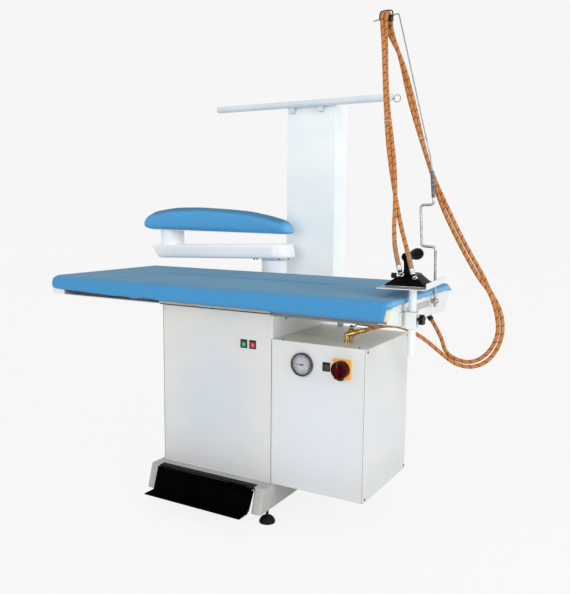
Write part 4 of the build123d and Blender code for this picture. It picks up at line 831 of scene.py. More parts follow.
# The lip, boiler lip, end recess and dark edge coats are painted shade under the board and its rim; the grey
# and dark ones also dress real panel joints.
grey_gasket_and_lip_shade = powder_coat("grey_gasket_and_painted_lip_shade", (0.36, 0.36, 0.33), (0.30, 0.30, 0.28), 20.0, 0.5)
shade_grey = powder_coat("painted_shade_boiler_lip", (0.17, 0.17, 0.165), (0.14, 0.14, 0.14), 20.0, 0.5)
recess_shade_grey = powder_coat("painted_shade_end_recess", (0.45, 0.46, 0.445), (0.41, 0.42, 0.41), 16.0, 0.5)
dark_gasket_and_shade = powder_coat("dark_gasket_and_painted_shade", (0.028, 0.026, 0.027), (0.060, 0.062, 0.070), 14.0, 0.6,
                        Specular_IOR_Level=0.1)
base_grey = powder_coat("grey_base_coat", (0.41, 0.405, 0.385), (0.37, 0.37, 0.355), 9.0, 0.48,
                        bare=(0.62, 0.62, 0.60))
black_coat = powder_coat("black_coat", (0.001, 0.001, 0.001), (0.002, 0.002, 0.002), 12.0, 0.5,
                         bare=(0.02, 0.02, 0.02), Specular_IOR_Level=0.0)
motor_grey = powder_coat("grey_motor_coat", (0.12, 0.14, 0.16), (0.09, 0.10, 0.12), 18.0, 0.5,
                         bare=(0.35, 0.35, 0.35))
iron_black = powder_coat("black_enamel", (0.004, 0.004, 0.004), (0.009, 0.008, 0.009), 30.0, 0.26,
                         bare=(0.012, 0.012, 0.012), Specular_IOR_Level=0.004)
print("materials so far", len(bpy.data.materials))

# %% [markdown]
# ## Paint that changes along a part
# The rest's plate is painted darker on top, a painted shade, and the tray's front is painted dark where it
# lies in shade away from its left end, a painted shade too, while the rail ends in a darker wire ring. Each
# could be split into two pieces with a material of its own, but a mask over the coat's colour keeps the part
# whole.

# %% Shade parts of a coat
RAIL_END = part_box("rail_tube")[1].x - 0.0333
TRAY_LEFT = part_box("board_tray")[0].x


def coat_over(tree, mask, colour):
    """Cover the material's colour with another one where a mask says so."""
    under = tree.nodes["Principled BSDF"].inputs["Base Color"].links[0].from_socket
    shade(tree, Base_Color=blend_colours(tree, mask, under, colour))


def past(tree, start, reach):
    """0 left of a place along x, 1 from a little way past it."""
    return remap(tree, split_axes(tree, object_places(tree))["X"], start, start + reach)


tree = rest_white.node_tree
# painted shade: the plate's top is darker where it faces up
coat_over(tree, use_group(tree, facing_up, Low=0.7, High=0.95)["Mask"], (0.20, 0.22, 0.24))
tree = tray_white.node_tree
# painted shade: the tray's front is dark away from its left end
inner = past(tree, TRAY_LEFT + 0.055, 0.010)
coat_over(tree, maths(tree, "MULTIPLY", use_group(tree, facing_front)["Mask"], inner), (0.13, 0.13, 0.125))
tree = rail_white.node_tree
coat_over(tree, past(tree, RAIL_END, 0.001), (0.10, 0.10, 0.11))
print("rail's ring starts at", round(RAIL_END, 3))

# %% [markdown]
# ## Plated steel, brass, plastic and rubber
# Zinc and chrome plate differ in how sharp their reflection is and in how dull the metal has become.
# Brass darkens in its corners. Moulded plastic has a fine spark grain, and rubber is duller still.
# Each kind is one function, so that a shaft, a screw and a spring differ only in their numbers.

# %% Metals
def plated(name, colour, dull, roughness, scale=40.0, brushed=(1.0, 1.0, 1.0)):
    """Plated or bare metal with dull patches and fine lines."""
    material = finish_material(name, colour, roughness, 1.0)
    tree = material.node_tree
    shade(tree, Base_Color=clouded(tree, scale, colour, dull, 0.16, roughness - 0.04))
    bump(tree, noise_in(tree, 900.0, 2.0, brushed), 0.0001, 0.25)
    return material


zinc = plated("zinc_plate", (0.50, 0.51, 0.53), (0.36, 0.37, 0.39), 0.30)
wand_steel = plated("spring_steel_wand", (0.34, 0.35, 0.37), (0.26, 0.27, 0.28), 0.34)
chrome = plated("chrome_plate", (0.46, 0.47, 0.49), (0.34, 0.35, 0.37), 0.12)
bright_chrome = plated("bright_chrome", (0.72, 0.73, 0.75), (0.42, 0.43, 0.45), 0.10, 160.0)
spring_steel = plated("bright_spring_wire", (0.36, 0.37, 0.39), (0.20, 0.21, 0.22), 0.30, 120.0)
gauge_steel = plated("gauge_steel", (0.10, 0.105, 0.11), (0.07, 0.07, 0.075), 0.14)
dark_steel = plated("oiled_spring_steel", (0.030, 0.030, 0.032), (0.05, 0.045, 0.04), 0.4)
sole_metal = plated("bright_sole", (0.80, 0.80, 0.79), (0.66, 0.66, 0.66), 0.2, 25.0, (1.0, 0.05, 1.0))
stainless = plated("stainless_tank", (0.52, 0.52, 0.50), (0.40, 0.39, 0.37), 0.32, 14.0, (0.05, 1.0, 1.0))
galvanised = plated("galvanised_sheet", (0.50, 0.52, 0.53), (0.37, 0.39, 0.41), 0.42, 55.0)
brass = plated("cast_brass", (0.72, 0.50, 0.18), (0.40, 0.24, 0.07), 0.24, 70.0)
copper_sheath = plated("heater_sheath", (0.45, 0.24, 0.14), (0.22, 0.13, 0.09), 0.42)
screw_black = plated("black_oxide", (0.055, 0.055, 0.058), (0.09, 0.085, 0.08), 0.4, 200.0)

PLATE_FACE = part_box("board_tray")[1].x + 0.003
tree = chrome.node_tree
bare = past(tree, PLATE_FACE + 0.0002, 0.0008)
coat_over(tree, maths(tree, "SUBTRACT", 1.0, bare), (0.72, 0.75, 0.73))
shade(tree, Metallic=bare)
print("the whip's socket is painted up to x =", round(PLATE_FACE, 3))


# %% Make a plastic
def moulded(name, colour, roughness=0.45, grain=1500.0, lift=0.35, **sockets):
    """Moulded plastic or rubber with a spark-eroded grain and a faint bloom."""
    material = finish_material(name, colour, roughness, **sockets)
    tree = material.node_tree
    bloom = tuple(c * (1 - 0.14 * lift) + 0.05 * lift for c in colour)
    shade(tree, Base_Color=clouded(tree, 30.0, colour, bloom, 0.12, roughness - 0.06))
    bump(tree, use_group(tree, orange_peel, Scale=grain)["Height"], 0.00012, 0.5)
    return material


def lit_plastic(name, rim, heart, glow):
    """A rocker's clear paddle over a lamp: deep colour at its rim, light in its middle."""
    material = finish_material(name, rim, 0.25, Coat_Weight=0.3)
    tree = material.node_tree
    middle = use_group(tree, middle_of_panel, Reach=0.45)["Middle"]
    shade(tree, Base_Color=blend_colours(tree, middle, rim, heart), Emission_Strength=glow,
          Emission_Color=blend_colours(tree, middle, (0, 0, 0), heart))
    bump(tree, use_group(tree, orange_peel, Scale=700.0)["Height"], 0.0001, 0.3)
    return material


print("metals and coats", len(bpy.data.materials))

# %% Mix the plastics
black_plastic = moulded("black_plastic", (0.010, 0.010, 0.011), 0.30, Specular_IOR_Level=0.15)
knob_black = moulded("black_knob_plastic", (0.003, 0.003, 0.0033), 0.22, Specular_IOR_Level=0.07)
black_rubber = moulded("black_rubber", (0.006, 0.006, 0.006), 0.55, 700.0, 0.1, Specular_IOR_Level=0.10)
grip_black = moulded("black_phenolic_grip", (0.003, 0.0025, 0.0025), 0.30, 500.0, 0.1,
                     Specular_IOR_Level=0.006)
yellow_plate = moulded("yellow_plate", (0.92, 0.45, 0.06), 0.38, 900.0, 0.4)
red_knob = moulded("red_knob", (0.042, 0.0006, 0.002), 0.18, 400.0, 0.05, Specular_IOR_Level=0.06)
green_paddle = lit_plastic("green_paddle", (0.012, 0.11, 0.055), (0.07, 0.40, 0.20), 0.25)
red_paddle = lit_plastic("red_paddle", (0.25, 0.008, 0.020), (0.72, 0.050, 0.10), 0.25)
boiler_paddle = lit_plastic("boiler_paddle", (0.030, 0.001, 0.003), (0.060, 0.003, 0.006), 0.06)
dial_white = moulded("dial_white", (0.74, 0.75, 0.82), 0.5, 300.0, 0.2)
dial_blue = moulded("dial_blue_ink", (0.06, 0.07, 0.22), 0.6, 300.0, 0.1)
print_black = moulded("black_ink", (0.02, 0.015, 0.01), 0.6, 300.0, 0.1)
dull_red_ink = moulded("dull_red_ink", (0.16, 0.035, 0.045), 0.5, 300.0, 0.1)
print("finishes in all", len(bpy.data.materials))

# %% [markdown]
# ## Glass
# The gauge has a flat window. Its shader keeps a plain transmission weight and a thin dust of
# roughness; a window that is only transparent would lose its highlight.

# %% Gauge glass
clear_glass = finish_material("clear_window", (0.97, 0.98, 1.0), 0.03, Transmission_Weight=1.0, IOR=1.45)
tree = clear_glass.node_tree
shade(tree, Roughness=maths(tree, "MULTIPLY", noise_in(tree, 50.0, 3.0), 0.06))
print("glass ready")

# %% [markdown]
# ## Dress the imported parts
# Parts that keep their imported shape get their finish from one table: the material on the left, the
# parts that wear it on the right.

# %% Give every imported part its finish
FINISHES = {
    front_white: ("front_panel",),
    side_white: ("cabinet_shell",),
    casing_white: ("boiler_casing",),
    column_white: ("column_shell", "column_cap"),
    arm_white: ("sleeve_post", "swivel_bush"),
    rail_white: ("rail_tube",),
    tray_white: ("board_tray",),
    rest_white: ("iron_rest", "rest_clamp"),
    lid_grey: ("boiler_lid",),
    base_grey: ("base_frame",),
    black_coat: ("treadle",),
    motor_grey: ("fan_motor", "feed_pump"),
    zinc: ("whip_rod", "treadle_pin"),
    wand_steel: ("whip_wand",),
    gauge_steel: ("gauge_case",),
    chrome: ("whip_socket",),
    stainless: ("boiler_tank", "fan_impeller"),
    galvanised: ("board_top_sheet", "suction_duct", "fan_housing"),
    brass: ("brass_fittings",),
    copper_sheath: ("heating_element",),
    black_plastic: ("rocker_frames", "hose_saddle", "hose_gland", "pedal_switch", "switch_plunger",
                    "valve_lever", "gauge_pointer"),
    knob_black: ("rest_knob", "steam_knob"),
    black_rubber: ("levelling_feet",),
    screw_black: ("panel_screws",),
    yellow_plate: ("isolator_body",),
    red_knob: ("isolator_knob",),
    green_paddle: ("green_rocker",),
    red_paddle: ("red_rocker",),
    boiler_paddle: ("boiler_rocker",),
    clear_glass: ("gauge_glass",),
}
for material, names in FINISHES.items():
    for name in names:
        wear(nodes[name], material)
dressed = {name for names in FINISHES.values() for name in names}
print("dressed", len(dressed), "of", len(nodes), "- built below:", sorted(set(nodes) - dressed))

# %% [markdown]
# ## Cotton and felt
# The ironing surfaces are a blue cotton cover stretched over cream felt. The faces that look up are painted
# greyer than the apron in front, a painted sheen; faces that look right are painted lighter, a painted
# highlight; and the apron is painted darker towards its hem, a painted shade. The thread crossings are a
# bump, because a thread is a quarter of a millimetre wide, and their valleys are painted darker, a painted
# shade.

# %% Cloth materials
def cotton_cover(name, bright, sheen_top, lit_end, low, high, hem=None):
    """Plain-woven cotton, painted greyer where it faces up as a painted sheen, lighter where it faces right
    as a painted highlight, and darker in its thread valleys and towards its hem as painted shade.
    """
    material = finish_material(name, bright, 0.86, Sheen_Weight=0.12, Sheen_Roughness=0.5,
                               Specular_IOR_Level=0.2)
    tree = material.node_tree
    weave = use_group(tree, plain_weave)
    deeper, dark = (tuple(c * share for c in colour) for colour, share in ((sheen_top, 0.86), (bright, 0.55)))
    # painted sheen: the faces that look up take a greyer colour, clouded at random
    clouded_sheen = blend_colours(tree, use_group(tree, soft_clouds, Scale=4.5, Contrast=0.22)["Cloud"], sheen_top, deeper)
    drawn = blend_colours(tree, use_group(tree, facing_up, Low=low, High=high)["Mask"], bright, clouded_sheen)
    # painted highlight: faces that look right are painted lighter
    ends = use_group(tree, facing_right)["Mask"]
    drawn = blend_colours(tree, maths(tree, "MULTIPLY", ends, 0.55), drawn, lit_end)
    # painted shade in the thread valleys
    drawn = blend_colours(tree, maths(tree, "MULTIPLY", weave["Valley"], 0.22), drawn, dark)
    if hem:
        # painted shade: the apron is darker towards its hem
        height = split_axes(tree, object_places(tree))["Z"]
        wavy = maths(tree, "MULTIPLY_ADD", noise_in(tree, 9.0, 2.0), 0.010, height)
        hem_shade = maths(tree, "MULTIPLY", remap(tree, wavy, hem + 0.006, hem + 0.020, 1.0, 0.0), 0.60)
        drawn = blend_colours(tree, hem_shade, drawn, (0.13, 0.15, 0.17))
    shade(tree, Base_Color=drawn)
    bump(tree, maths(tree, "MULTIPLY_ADD", noise_in(tree, 16.0, 2.0), 4.0, weave["Height"]), 0.0004, 0.7)
    return material


board_cotton = cotton_cover("blue_board_cotton", (0.052, 0.266, 0.535), (0.080, 0.262, 0.425),
                            (0.26, 0.60, 0.86), 0.62, 0.9985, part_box("board_cover")[0].z)
sleeve_cotton = cotton_cover("blue_sleeve_cotton", (0.090, 0.360, 0.680), (0.030, 0.170, 0.305),
                             (0.24, 0.56, 0.84), 0.35, 0.995)

cream_felt = finish_material("cream_felt", (0.74, 0.62, 0.40), 0.95, Sheen_Weight=0.3)
tree = cream_felt.node_tree
fibres = noise_in(tree, 420.0, 4.0, (1.0, 1.0, 3.0))
shade(tree, Base_Color=blend_colours(tree, fibres, (0.80, 0.68, 0.45), (0.56, 0.46, 0.30)))
bump(tree, fibres, 0.0008, 0.7)
print("cloth materials ready")

# %% [markdown]
# ## The board's cover and felt
# A cover like this is one cut of cloth with an elastic hem that pulls it under the board. It could be
# simulated, but a board cover is tight and its few folds sit at the hem, so it is skinned: for each point
# around the board a profile runs from the middle of the top, over a soft roll and down the apron. The apron
# hangs lowest in front. On the right end the hem is drawn up between its fastenings, which leaves scallops
# and a little felt in view at the front corner.

# %% Walk around the board
BOARD_LOW, BOARD_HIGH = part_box("board_cover")
BOARD_CORNER, BOARD_BACK_CORNER = 0.026, 0.018
CORNER_STEPS, EDGE_STEP = 10, 0.011
SHEET_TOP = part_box("board_top_sheet")[1].z
APRON_HEM, END_HEM = BOARD_LOW.z, 0.806


def board_walk(inset):
    """(point, outward direction, side, share of the side) around the board, from the front left."""
    low, high = BOARD_LOW + Vector((inset, inset, 0)), BOARD_HIGH - Vector((inset, inset, 0))
    near, far = BOARD_CORNER - inset, BOARD_BACK_CORNER - inset
    sides = [("front", (0, -1), (low.x + near, low.y), (high.x - near, low.y), near),
             ("right", (1, 0), (high.x, low.y + near), (high.x, high.y - far), far),
             ("back", (0, 1), (high.x - far, high.y), (low.x + far, high.y), far),
             ("left", (-1, 0), (low.x, high.y - far), (low.x, low.y + near), near)]
    walk = []
    for side, out, start, end, radius in sides:
        out, start, end = Vector(out), Vector(start), Vector(end)
        steps = ceil((end - start).length / EDGE_STEP)
        walk += [(start.lerp(end, k / steps), out, side, k / steps) for k in range(steps)]
        centre = end - out * radius
        for k in range(CORNER_STEPS):
            turn = Matrix.Rotation(pi / 2 * k / CORNER_STEPS, 2)
            walk.append((centre + turn @ out * radius, turn @ out, side + "_corner", k / CORNER_STEPS))
    return walk


print("a walk round the board has", len(board_walk(0.0)), "places")


# %% Draw the cover's hem
def smooth(t):
    t = min(1.0, max(0.0, t))
    return t * t * (3 - 2 * t)


SCALLOPS, SCALLOP_DEPTH, END_SLACK = 8, 0.0035, 0.0015
HEM_LIFT, HEM_LIFT_MIDDLE, HEM_LIFT_FAR = 0.0035, 0.0060, 0.0045
HEM_LEFT = HEM_LIFT + HEM_LIFT_MIDDLE + HEM_LIFT_FAR
TIP_LIFT, TIP_LENGTH = 0.003, 0.13
DIP_DEPTH, DIP_WIDTH, DIP_LEFT_OF_CABINET = 0.004, 0.022, 0.030
CORNER_LIFT, LEFT_CORNER_LIFT, GATHER = 0.004, 0.006, 0.0022
CABINET_LOW, CABINET_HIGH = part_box("cabinet_shell")


def hem_lift(x):
    """How much higher the front hem hangs left of the boiler than over it."""
    return (HEM_LIFT_FAR * smooth((-0.36 - x) / 0.20) + HEM_LIFT * smooth((-0.10 - x) / 0.10)
            + HEM_LIFT_MIDDLE * smooth((0.345 - x) / 0.05))


def cover_hem(point, side, share):
    """Height of the cover's hem, and how far it is puckered in, at a place around the board."""
    if side == "front":
        tip = TIP_LIFT * smooth((BOARD_LOW.x + TIP_LENGTH - point.x) / 0.10)
        dip = DIP_DEPTH * exp(-((point.x - CABINET_LOW.x + DIP_LEFT_OF_CABINET) / DIP_WIDTH) ** 2)
        ripple = 0.0006 * sin(point.x * 55) * smooth((CABINET_HIGH.x - point.x) / 0.2)
        return APRON_HEM + hem_lift(point.x) + tip - dip + ripple, 0.0
    if side == "front_corner":
        drawn_up = (END_HEM + CORNER_LIFT - APRON_HEM) * smooth((share - 0.22) / 0.25)
        return APRON_HEM + drawn_up, 0.001 * share
    if side == "right":
        wave = abs(sin(pi * SCALLOPS * share))
        return END_HEM + END_SLACK + SCALLOP_DEPTH * (1 - wave), SCALLOP_DEPTH * (1 - wave) ** 3
    if side == "left_corner":
        low = APRON_HEM + HEM_LEFT + LEFT_CORNER_LIFT
        rise = (END_HEM - low) * smooth((0.55 - share) / 0.5)
        return low + rise + GATHER * sin(24 * share), 0.004 * (1 - share)
    return END_HEM + END_SLACK * sin(40 * share), 0.001 * (1 + sin(60 * share))


print("front hem lifts", [round(hem_lift(x / 10), 4) for x in (-6, -2, 0, 5)])

# %% Draw a profile from the board's middle to its hem
TOP_SHARES = (0.0, 0.10, 0.21, 0.32, 0.43, 0.54, 0.63)
TOP_DIP = 0.0010
TOP_EASE = ((0.105, 0.0), (0.086, 0.3), (0.070, 0.8), (0.056, 1.4), (0.044, 2.1), (0.035, 2.7))
ROLL_ACROSS, ROLL_DOWN, END_ROLL = 0.030, 0.023, 0.62
ROLL_TURNS = [radians(a) for a in (8, 20, 32, 44, 56, 68, 80, 90)]
APRON_ROWS, APRON_SAG, APRON_BELLY = 8, 0.0012, 0.0014
FRONT_TUCK, SIDE_TUCK = 0.0035, 0.0018


def quilting(spot):
    """How the padding swells and dips over the board, from -1 to 1."""
    return noise.noise(Vector((spot.x * 5, spot.y * 6, 0.3)))


def board_profile(place, inset, hem, pucker, crown):
    """Points from the middle of the board's top out over the roll and down to the hem."""
    point, out, side, share = place
    half = (BOARD_HIGH.y - BOARD_LOW.y) / 2
    spine = Vector((min(max(point.x, BOARD_LOW.x + half), BOARD_HIGH.x - half),
                    (BOARD_HIGH.y + BOARD_LOW.y) / 2))
    top = BOARD_HIGH.z - inset - TOP_DIP
    tighter = END_ROLL if side in ("right", "left", "back") else 1.0
    across, down = ROLL_ACROSS * tighter, ROLL_DOWN * tighter
    row = [(spot, top + crown * quilting(spot)) for spot in (spine.lerp(point, f) for f in TOP_SHARES)]
    last_fall = TOP_EASE[-1][1]
    for d, fall in TOP_EASE:
        spot = point.lerp(spine, d / half)
        row.append((spot, top - fall * MM + crown * (1 - fall / last_fall) * quilting(spot)))
    shoulder = top - last_fall * MM
    for turn in ROLL_TURNS:
        row.append((point - out * across * (1 - sin(turn)), shoulder - 0.0003 - down * (1 - cos(turn))))
    start = row[-1][1]
    tuck = FRONT_TUCK if side == "front" else SIDE_TUCK
    for k in range(1, APRON_ROWS + 1):
        t = k / APRON_ROWS
        sag = APRON_SAG * noise.noise(Vector((point.x * 11, point.y * 11, t * 1.5))) * t
        shift = APRON_BELLY * sin(pi * t) - pucker * t * t - tuck * smooth((t - 0.62) / 0.38) + sag
        row.append((point + out * shift, start + (hem - start) * t))
    return [Vector((spot.x, spot.y, z)) for spot, z in row]


print("a profile has", len(board_profile(board_walk(0.0)[0], 0.0, APRON_HEM, 0.0, 0.0)), "points")


# %% Weld and turn skins
def shaded(piece, smoothly):
    """Shade all of a piece's faces smooth or flat."""
    for face in piece.data.polygons:
        face.use_smooth = smoothly
    return piece


def weld(piece, distance=0.0004):
    """Join points that meet, such as those along the middle of the board."""
    form = bmesh.new()
    form.from_mesh(piece.data)
    bmesh.ops.remove_doubles(form, verts=form.verts, dist=distance)
    bmesh.ops.dissolve_degenerate(form, edges=form.edges, dist=distance / 4)
    bmesh.ops.recalc_face_normals(form, faces=form.faces)
    form.to_mesh(piece.data)
    form.free()
    return shaded(piece, True)


def facing_out(piece):
    """Turn an open skin so that its highest face looks up."""
    highest = max(piece.data.polygons, key=lambda f: f.center.z)
    if highest.normal.z < 0:
        piece.data.flip_normals()
    return piece


def thickened(piece, thickness):
    """Give a skin its thickness inward."""
    shell = piece.modifiers.new("cotton_thickness", "SOLIDIFY")
    shell.thickness, shell.offset = thickness, -1.0
    return piece


print("skins are welded within", weld.__defaults__[0], "m")

# %% Skin the board's cover
COTTON_THICKNESS, QUILTING = 0.0018, 0.0012
rings = []
for place in board_walk(0.0):
    hem, pucker = cover_hem(place[0], place[2], place[3])
    rings.append(board_profile(place, 0.0, hem, pucker, QUILTING))
board_cloth = lofted("board_cover_cotton", rings, caps=False, around=False, loop=True)
facing_out(weld(board_cloth))
fitted(thickened(board_cloth, COTTON_THICKNESS), board_cotton, "machine", "board_cover")
print("board cover", len(board_cloth.data.vertices), "points")

# %% Skin the felt under it
FELT_INSET, APRON_FELT, FELT_PUCKER = 0.0023, 0.0062, 0.0005
FELT_HEM, FELT_END = APRON_HEM + 0.004, SHEET_TOP + 0.001
FELT_SEAT = SHEET_TOP + 0.0002


def felt_hem(point, side, share):
    """The felt hangs only in front and a little way round the right corner."""
    if side == "front":
        return FELT_HEM + hem_lift(point.x)
    if side == "front_corner":
        return FELT_HEM + 0.05 * smooth((share - 0.62) / 0.25)
    if side == "left_corner" and share > 0.6:
        return APRON_HEM + HEM_LEFT + 0.010
    return FELT_END


rings = []
for place in board_walk(FELT_INSET):
    point, out, side, share = place
    hem = felt_hem(point, side, share)
    row = board_profile(place, FELT_INSET, hem, FELT_PUCKER, QUILTING)
    inner = point - out * APRON_FELT
    row.append(Vector((*inner, hem)))
    row += [Vector((spot.x, spot.y, FELT_SEAT)) for spot in (inner, row[2], row[0])]
    rings.append(row)
board_felt = weld(lofted("board_padding_felt", rings, caps=False, around=False, loop=True))
fitted(board_felt, cream_felt, "machine", "board_padding")
print("board felt", len(board_felt.data.vertices), "points")

# %% [markdown]
# ## The sleeve pad
# The small board for sleeves is a boat-shaped pad, wide at its left end and narrow at its nose. Its
# sections are superellipses: rounded above, flatter below. The form starts a little small and is then
# blown up by a cloth simulation, which lets the cotton settle over the stuffing as it does on the
# real one. The cover is cut open underneath, where the base plate holds it.

# %% Shape the sleeve pad
SLEEVE_LOW, SLEEVE_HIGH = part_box("sleeve_cover")
SLEEVE_Y = (SLEEVE_LOW.y + SLEEVE_HIGH.y) / 2
PAD_LEFT, PAD_RIGHT = SLEEVE_LOW.x + 0.020, SLEEVE_HIGH.x
PAD_FLOOR_LEFT, PAD_FLOOR_RIGHT = 0.9965, 0.9890
WIDE, NARROW = 0.078, 0.052
CROWN = [(0.0, 24), (0.021, 56), (0.101, 86), (0.235, 100), (0.398, 102), (0.590, 97),
         (0.738, 90), (0.846, 77), (0.951, 60), (0.991, 34), (1.0, 12)]
TIP_LEFT, TIP_RIGHT = 0.021, 0.014


def between(t, low, high):
    """A number held between two limits."""
    return min(high, max(low, t))


def crown_at(t):
    """Height of the pad's top over its underside, at a share of its length."""
    for (a, low), (b, high) in zip(CROWN, CROWN[1:]):
        if t <= b:
            return (low + (high - low) * (t - a) / (b - a)) * MM
    return CROWN[-1][1] * MM


def rounded_end(distance, reach):
    """From 0 at a tip to 1 at reach from it, as a quarter of an ellipse."""
    return sqrt(1 - (1 - between(distance / reach, 0.0, 1.0)) ** 2)


def pad_floor(t):
    """Height of the pad's underside at a share of its length."""
    return PAD_FLOOR_LEFT + (PAD_FLOOR_RIGHT - PAD_FLOOR_LEFT) * t


print("the pad's crown at its middle is", round(crown_at(0.5), 3), "m")

# %% Loft the pad's form
SWELL, FLOOR_GAP = 0.0045, 0.0004
PLAN_ROUND, TOP_ROUND, FLOOR_ROUND = (0.070, 0.052), (0.030, 0.022), (0.062, 0.014)
SIDE_POWER, TOP_POWER, FLOOR_POWER, WIDEST_SHARE = 0.72, 0.92, 0.42, 0.27


def pad_section(t, inset, sides=40):
    """A section of the pad at a share of its length: a superellipse, flatter below."""
    x = PAD_LEFT + (PAD_RIGHT - PAD_LEFT) * t
    left, right = x - PAD_LEFT, PAD_RIGHT - x
    plan, open_top, open_floor = (rounded_end(left, a) * rounded_end(right, b)
                                  for a, b in (PLAN_ROUND, TOP_ROUND, FLOOR_ROUND))
    floor = pad_floor(t) + FLOOR_GAP
    half = (WIDE + (NARROW - WIDE) * t) * plan
    tip = TIP_LEFT if left < right else TIP_RIGHT
    height = sum(crown_at(between(t + d, 0, 1)) for d in (-0.012, 0, 0.012)) / 3
    top = floor + tip + (max(height, tip) - tip) * open_top
    bottom = floor + tip * (1 - open_floor)
    widest = bottom + (top - bottom) * WIDEST_SHARE
    ring = []
    for k in range(sides):
        turn = 2 * pi * k / sides
        c, s = cos(turn), sin(turn)
        y = (half - inset) * (abs(c) ** SIDE_POWER) * (1 if c >= 0 else -1)
        above, below = top - inset - widest, widest - bottom
        z = above * s ** TOP_POWER if s >= 0 else -below * abs(s) ** FLOOR_POWER
        ring.append(Vector((x, SLEEVE_Y + y, widest + z)))
    return ring


def pad_form(name, inset, stations=90):
    shares = [0.5 - 0.5 * cos(pi * (k + 0.35) / (stations - 0.3)) for k in range(stations)]
    return lofted(name, [pad_section(t, inset) for t in shares])


sleeve_pad = pad_form("sleeve_pad_form", SWELL)
print("pad form from", round(PAD_LEFT, 3), "to", round(PAD_RIGHT, 3))


# %% Blow a form up
def baked(piece):
    """Work a piece's modifiers into its mesh."""
    mesh = evaluated_mesh(piece)
    piece.modifiers.clear()
    piece.data = mesh
    return piece


def remeshed(piece, voxel):
    modifier = piece.modifiers.new("voxels", "REMESH")
    modifier.mode, modifier.voxel_size = "VOXEL", voxel
    return baked(piece)


def swollen(piece, pressure, cap, frames=20):
    """Blow a closed form up with a cloth simulation and limit how far each point may move."""
    start = [v.co.copy() for v in piece.data.vertices]
    cloth = piece.modifiers.new("cloth", "CLOTH")
    settings = cloth.settings
    settings.quality, settings.mass = 5, 0.3
    settings.tension_stiffness = settings.compression_stiffness = 15.0
    settings.use_pressure, settings.uniform_pressure_force = True, pressure
    settings.effector_weights.gravity = 0.0
    cloth.collision_settings.use_collision = False
    scene = bpy.context.scene
    scene.frame_start, scene.frame_end = 1, frames
    cloth.point_cache.frame_start, cloth.point_cache.frame_end = 1, frames
    for frame_number in range(1, frames + 1):
        scene.frame_set(frame_number)
    baked(piece)
    scene.frame_set(1)
    for vertex, before in zip(piece.data.vertices, start):
        move = vertex.co - before
        if move.length > cap:
            vertex.co = before + move.normalized() * cap
    return piece


print("the pad's form has", len(sleeve_pad.data.vertices), "points before it swells")

# %% Let the pad swell
PAD_VOXEL, PAD_PRESSURE = 0.006, 4.0
swollen(remeshed(sleeve_pad, PAD_VOXEL), PAD_PRESSURE, SWELL + 0.0015)
finer = sleeve_pad.modifiers.new("finer", "SUBSURF")
finer.levels = finer.render_levels = 1
baked(sleeve_pad)
for vertex in sleeve_pad.data.vertices:
    share = between((vertex.co.x - PAD_LEFT) / (PAD_RIGHT - PAD_LEFT), 0.0, 1.0)
    vertex.co.z = max(vertex.co.z, pad_floor(share) + FLOOR_GAP)
    vertex.co.x = between(vertex.co.x, SLEEVE_LOW.x, SLEEVE_HIGH.x + 0.003)
print("sleeve pad", len(sleeve_pad.data.vertices), "points")


# %% Part the cotton from the felt
def moved_in(name, piece, depth):
    """A copy of a piece whose points sit a little way inside it."""
    mesh = piece.data.copy()
    for vertex, source in zip(mesh.vertices, piece.data.vertices):
        vertex.co = source.co - source.normal * depth
        vertex.co.z = max(vertex.co.z, source.co.z if source.normal.z < -0.6 else 0.0)
    return in_scene(name, mesh)


def over_plate(spot):
    """Whether a point lies where the base plate holds the cover open."""
    return abs(spot.y - SLEEVE_Y) < 0.030 and PAD_LEFT + 0.09 < spot.x < PAD_RIGHT - 0.06


FELT_DEPTH = 0.0024
sleeve_felt = moved_in("sleeve_padding_felt", sleeve_pad, FELT_DEPTH)
form = bmesh.new()
form.from_mesh(sleeve_pad.data)
under = [f for f in form.faces if f.normal.z < -0.9 and over_plate(f.calc_center_median())]
bmesh.ops.delete(form, geom=under, context="FACES")
form.to_mesh(sleeve_pad.data)
form.free()
sleeve_pad.name = "sleeve_cover_cotton"
fitted(shaded(thickened(sleeve_pad, COTTON_THICKNESS), True), sleeve_cotton, "sleeve", "sleeve_cover")
fitted(shaded(sleeve_felt, True), cream_felt, "sleeve", "sleeve_padding")
print("sleeve soft goods ready")

# %% [markdown]
# ## The swinging arm
# The arm is a shallow steel box with a drafted, half-round nose over its pivot and a slanted left
# end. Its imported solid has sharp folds, so the visible arm is lofted over a few levels whose outlines
# shrink at the bottom and at the top, which rolls its edges. The collar and the post are turned.

# %% Build the arm
ARM = {"left": -0.699, "cut": 0.041, "half": 0.073, "middle": -0.30, "nose": -0.060, "draft": 0.013,
       "corner": 0.010}
PIVOT = Vector((-0.080, 0.236, 0.885))
ARM_SLOPE, ARM_HEIGHT = 0.0332, 0.058
POST_RADIUS, UPPER_POST_X, POST_TOP, COLLAR_FOOT = 0.054, -0.630, 0.9912, 0.8764


def arm_under(x):
    """Height of the arm's underside at a distance along it."""
    return PIVOT.z + ARM_SLOPE * (x - PIVOT.x)


def arm_outline(share, inset):
    """The arm's outline at a share of its height: straight left end, round nose."""
    left = ARM["left"] + ARM["cut"] * (1 - share) + inset
    half = ARM["half"] - inset
    reach = ARM["half"] - ARM["draft"] * share - inset
    corner, cut = ARM["corner"], ARM["corner"] * 0.3
    points = [(left + cut, half - cut), (left, half - corner), (left, corner - half),
              (left + cut, cut - half), (left + corner, -half), (ARM["middle"], -half)]
    points += [(ARM["nose"] + reach * sin(pi * k / 24), -half * cos(pi * k / 24)) for k in range(25)]
    points += [(ARM["middle"], half), (left + corner, half)]
    return [Vector((x, PIVOT.y + y, arm_under(x) + ARM_HEIGHT * share)) for x, y in points]


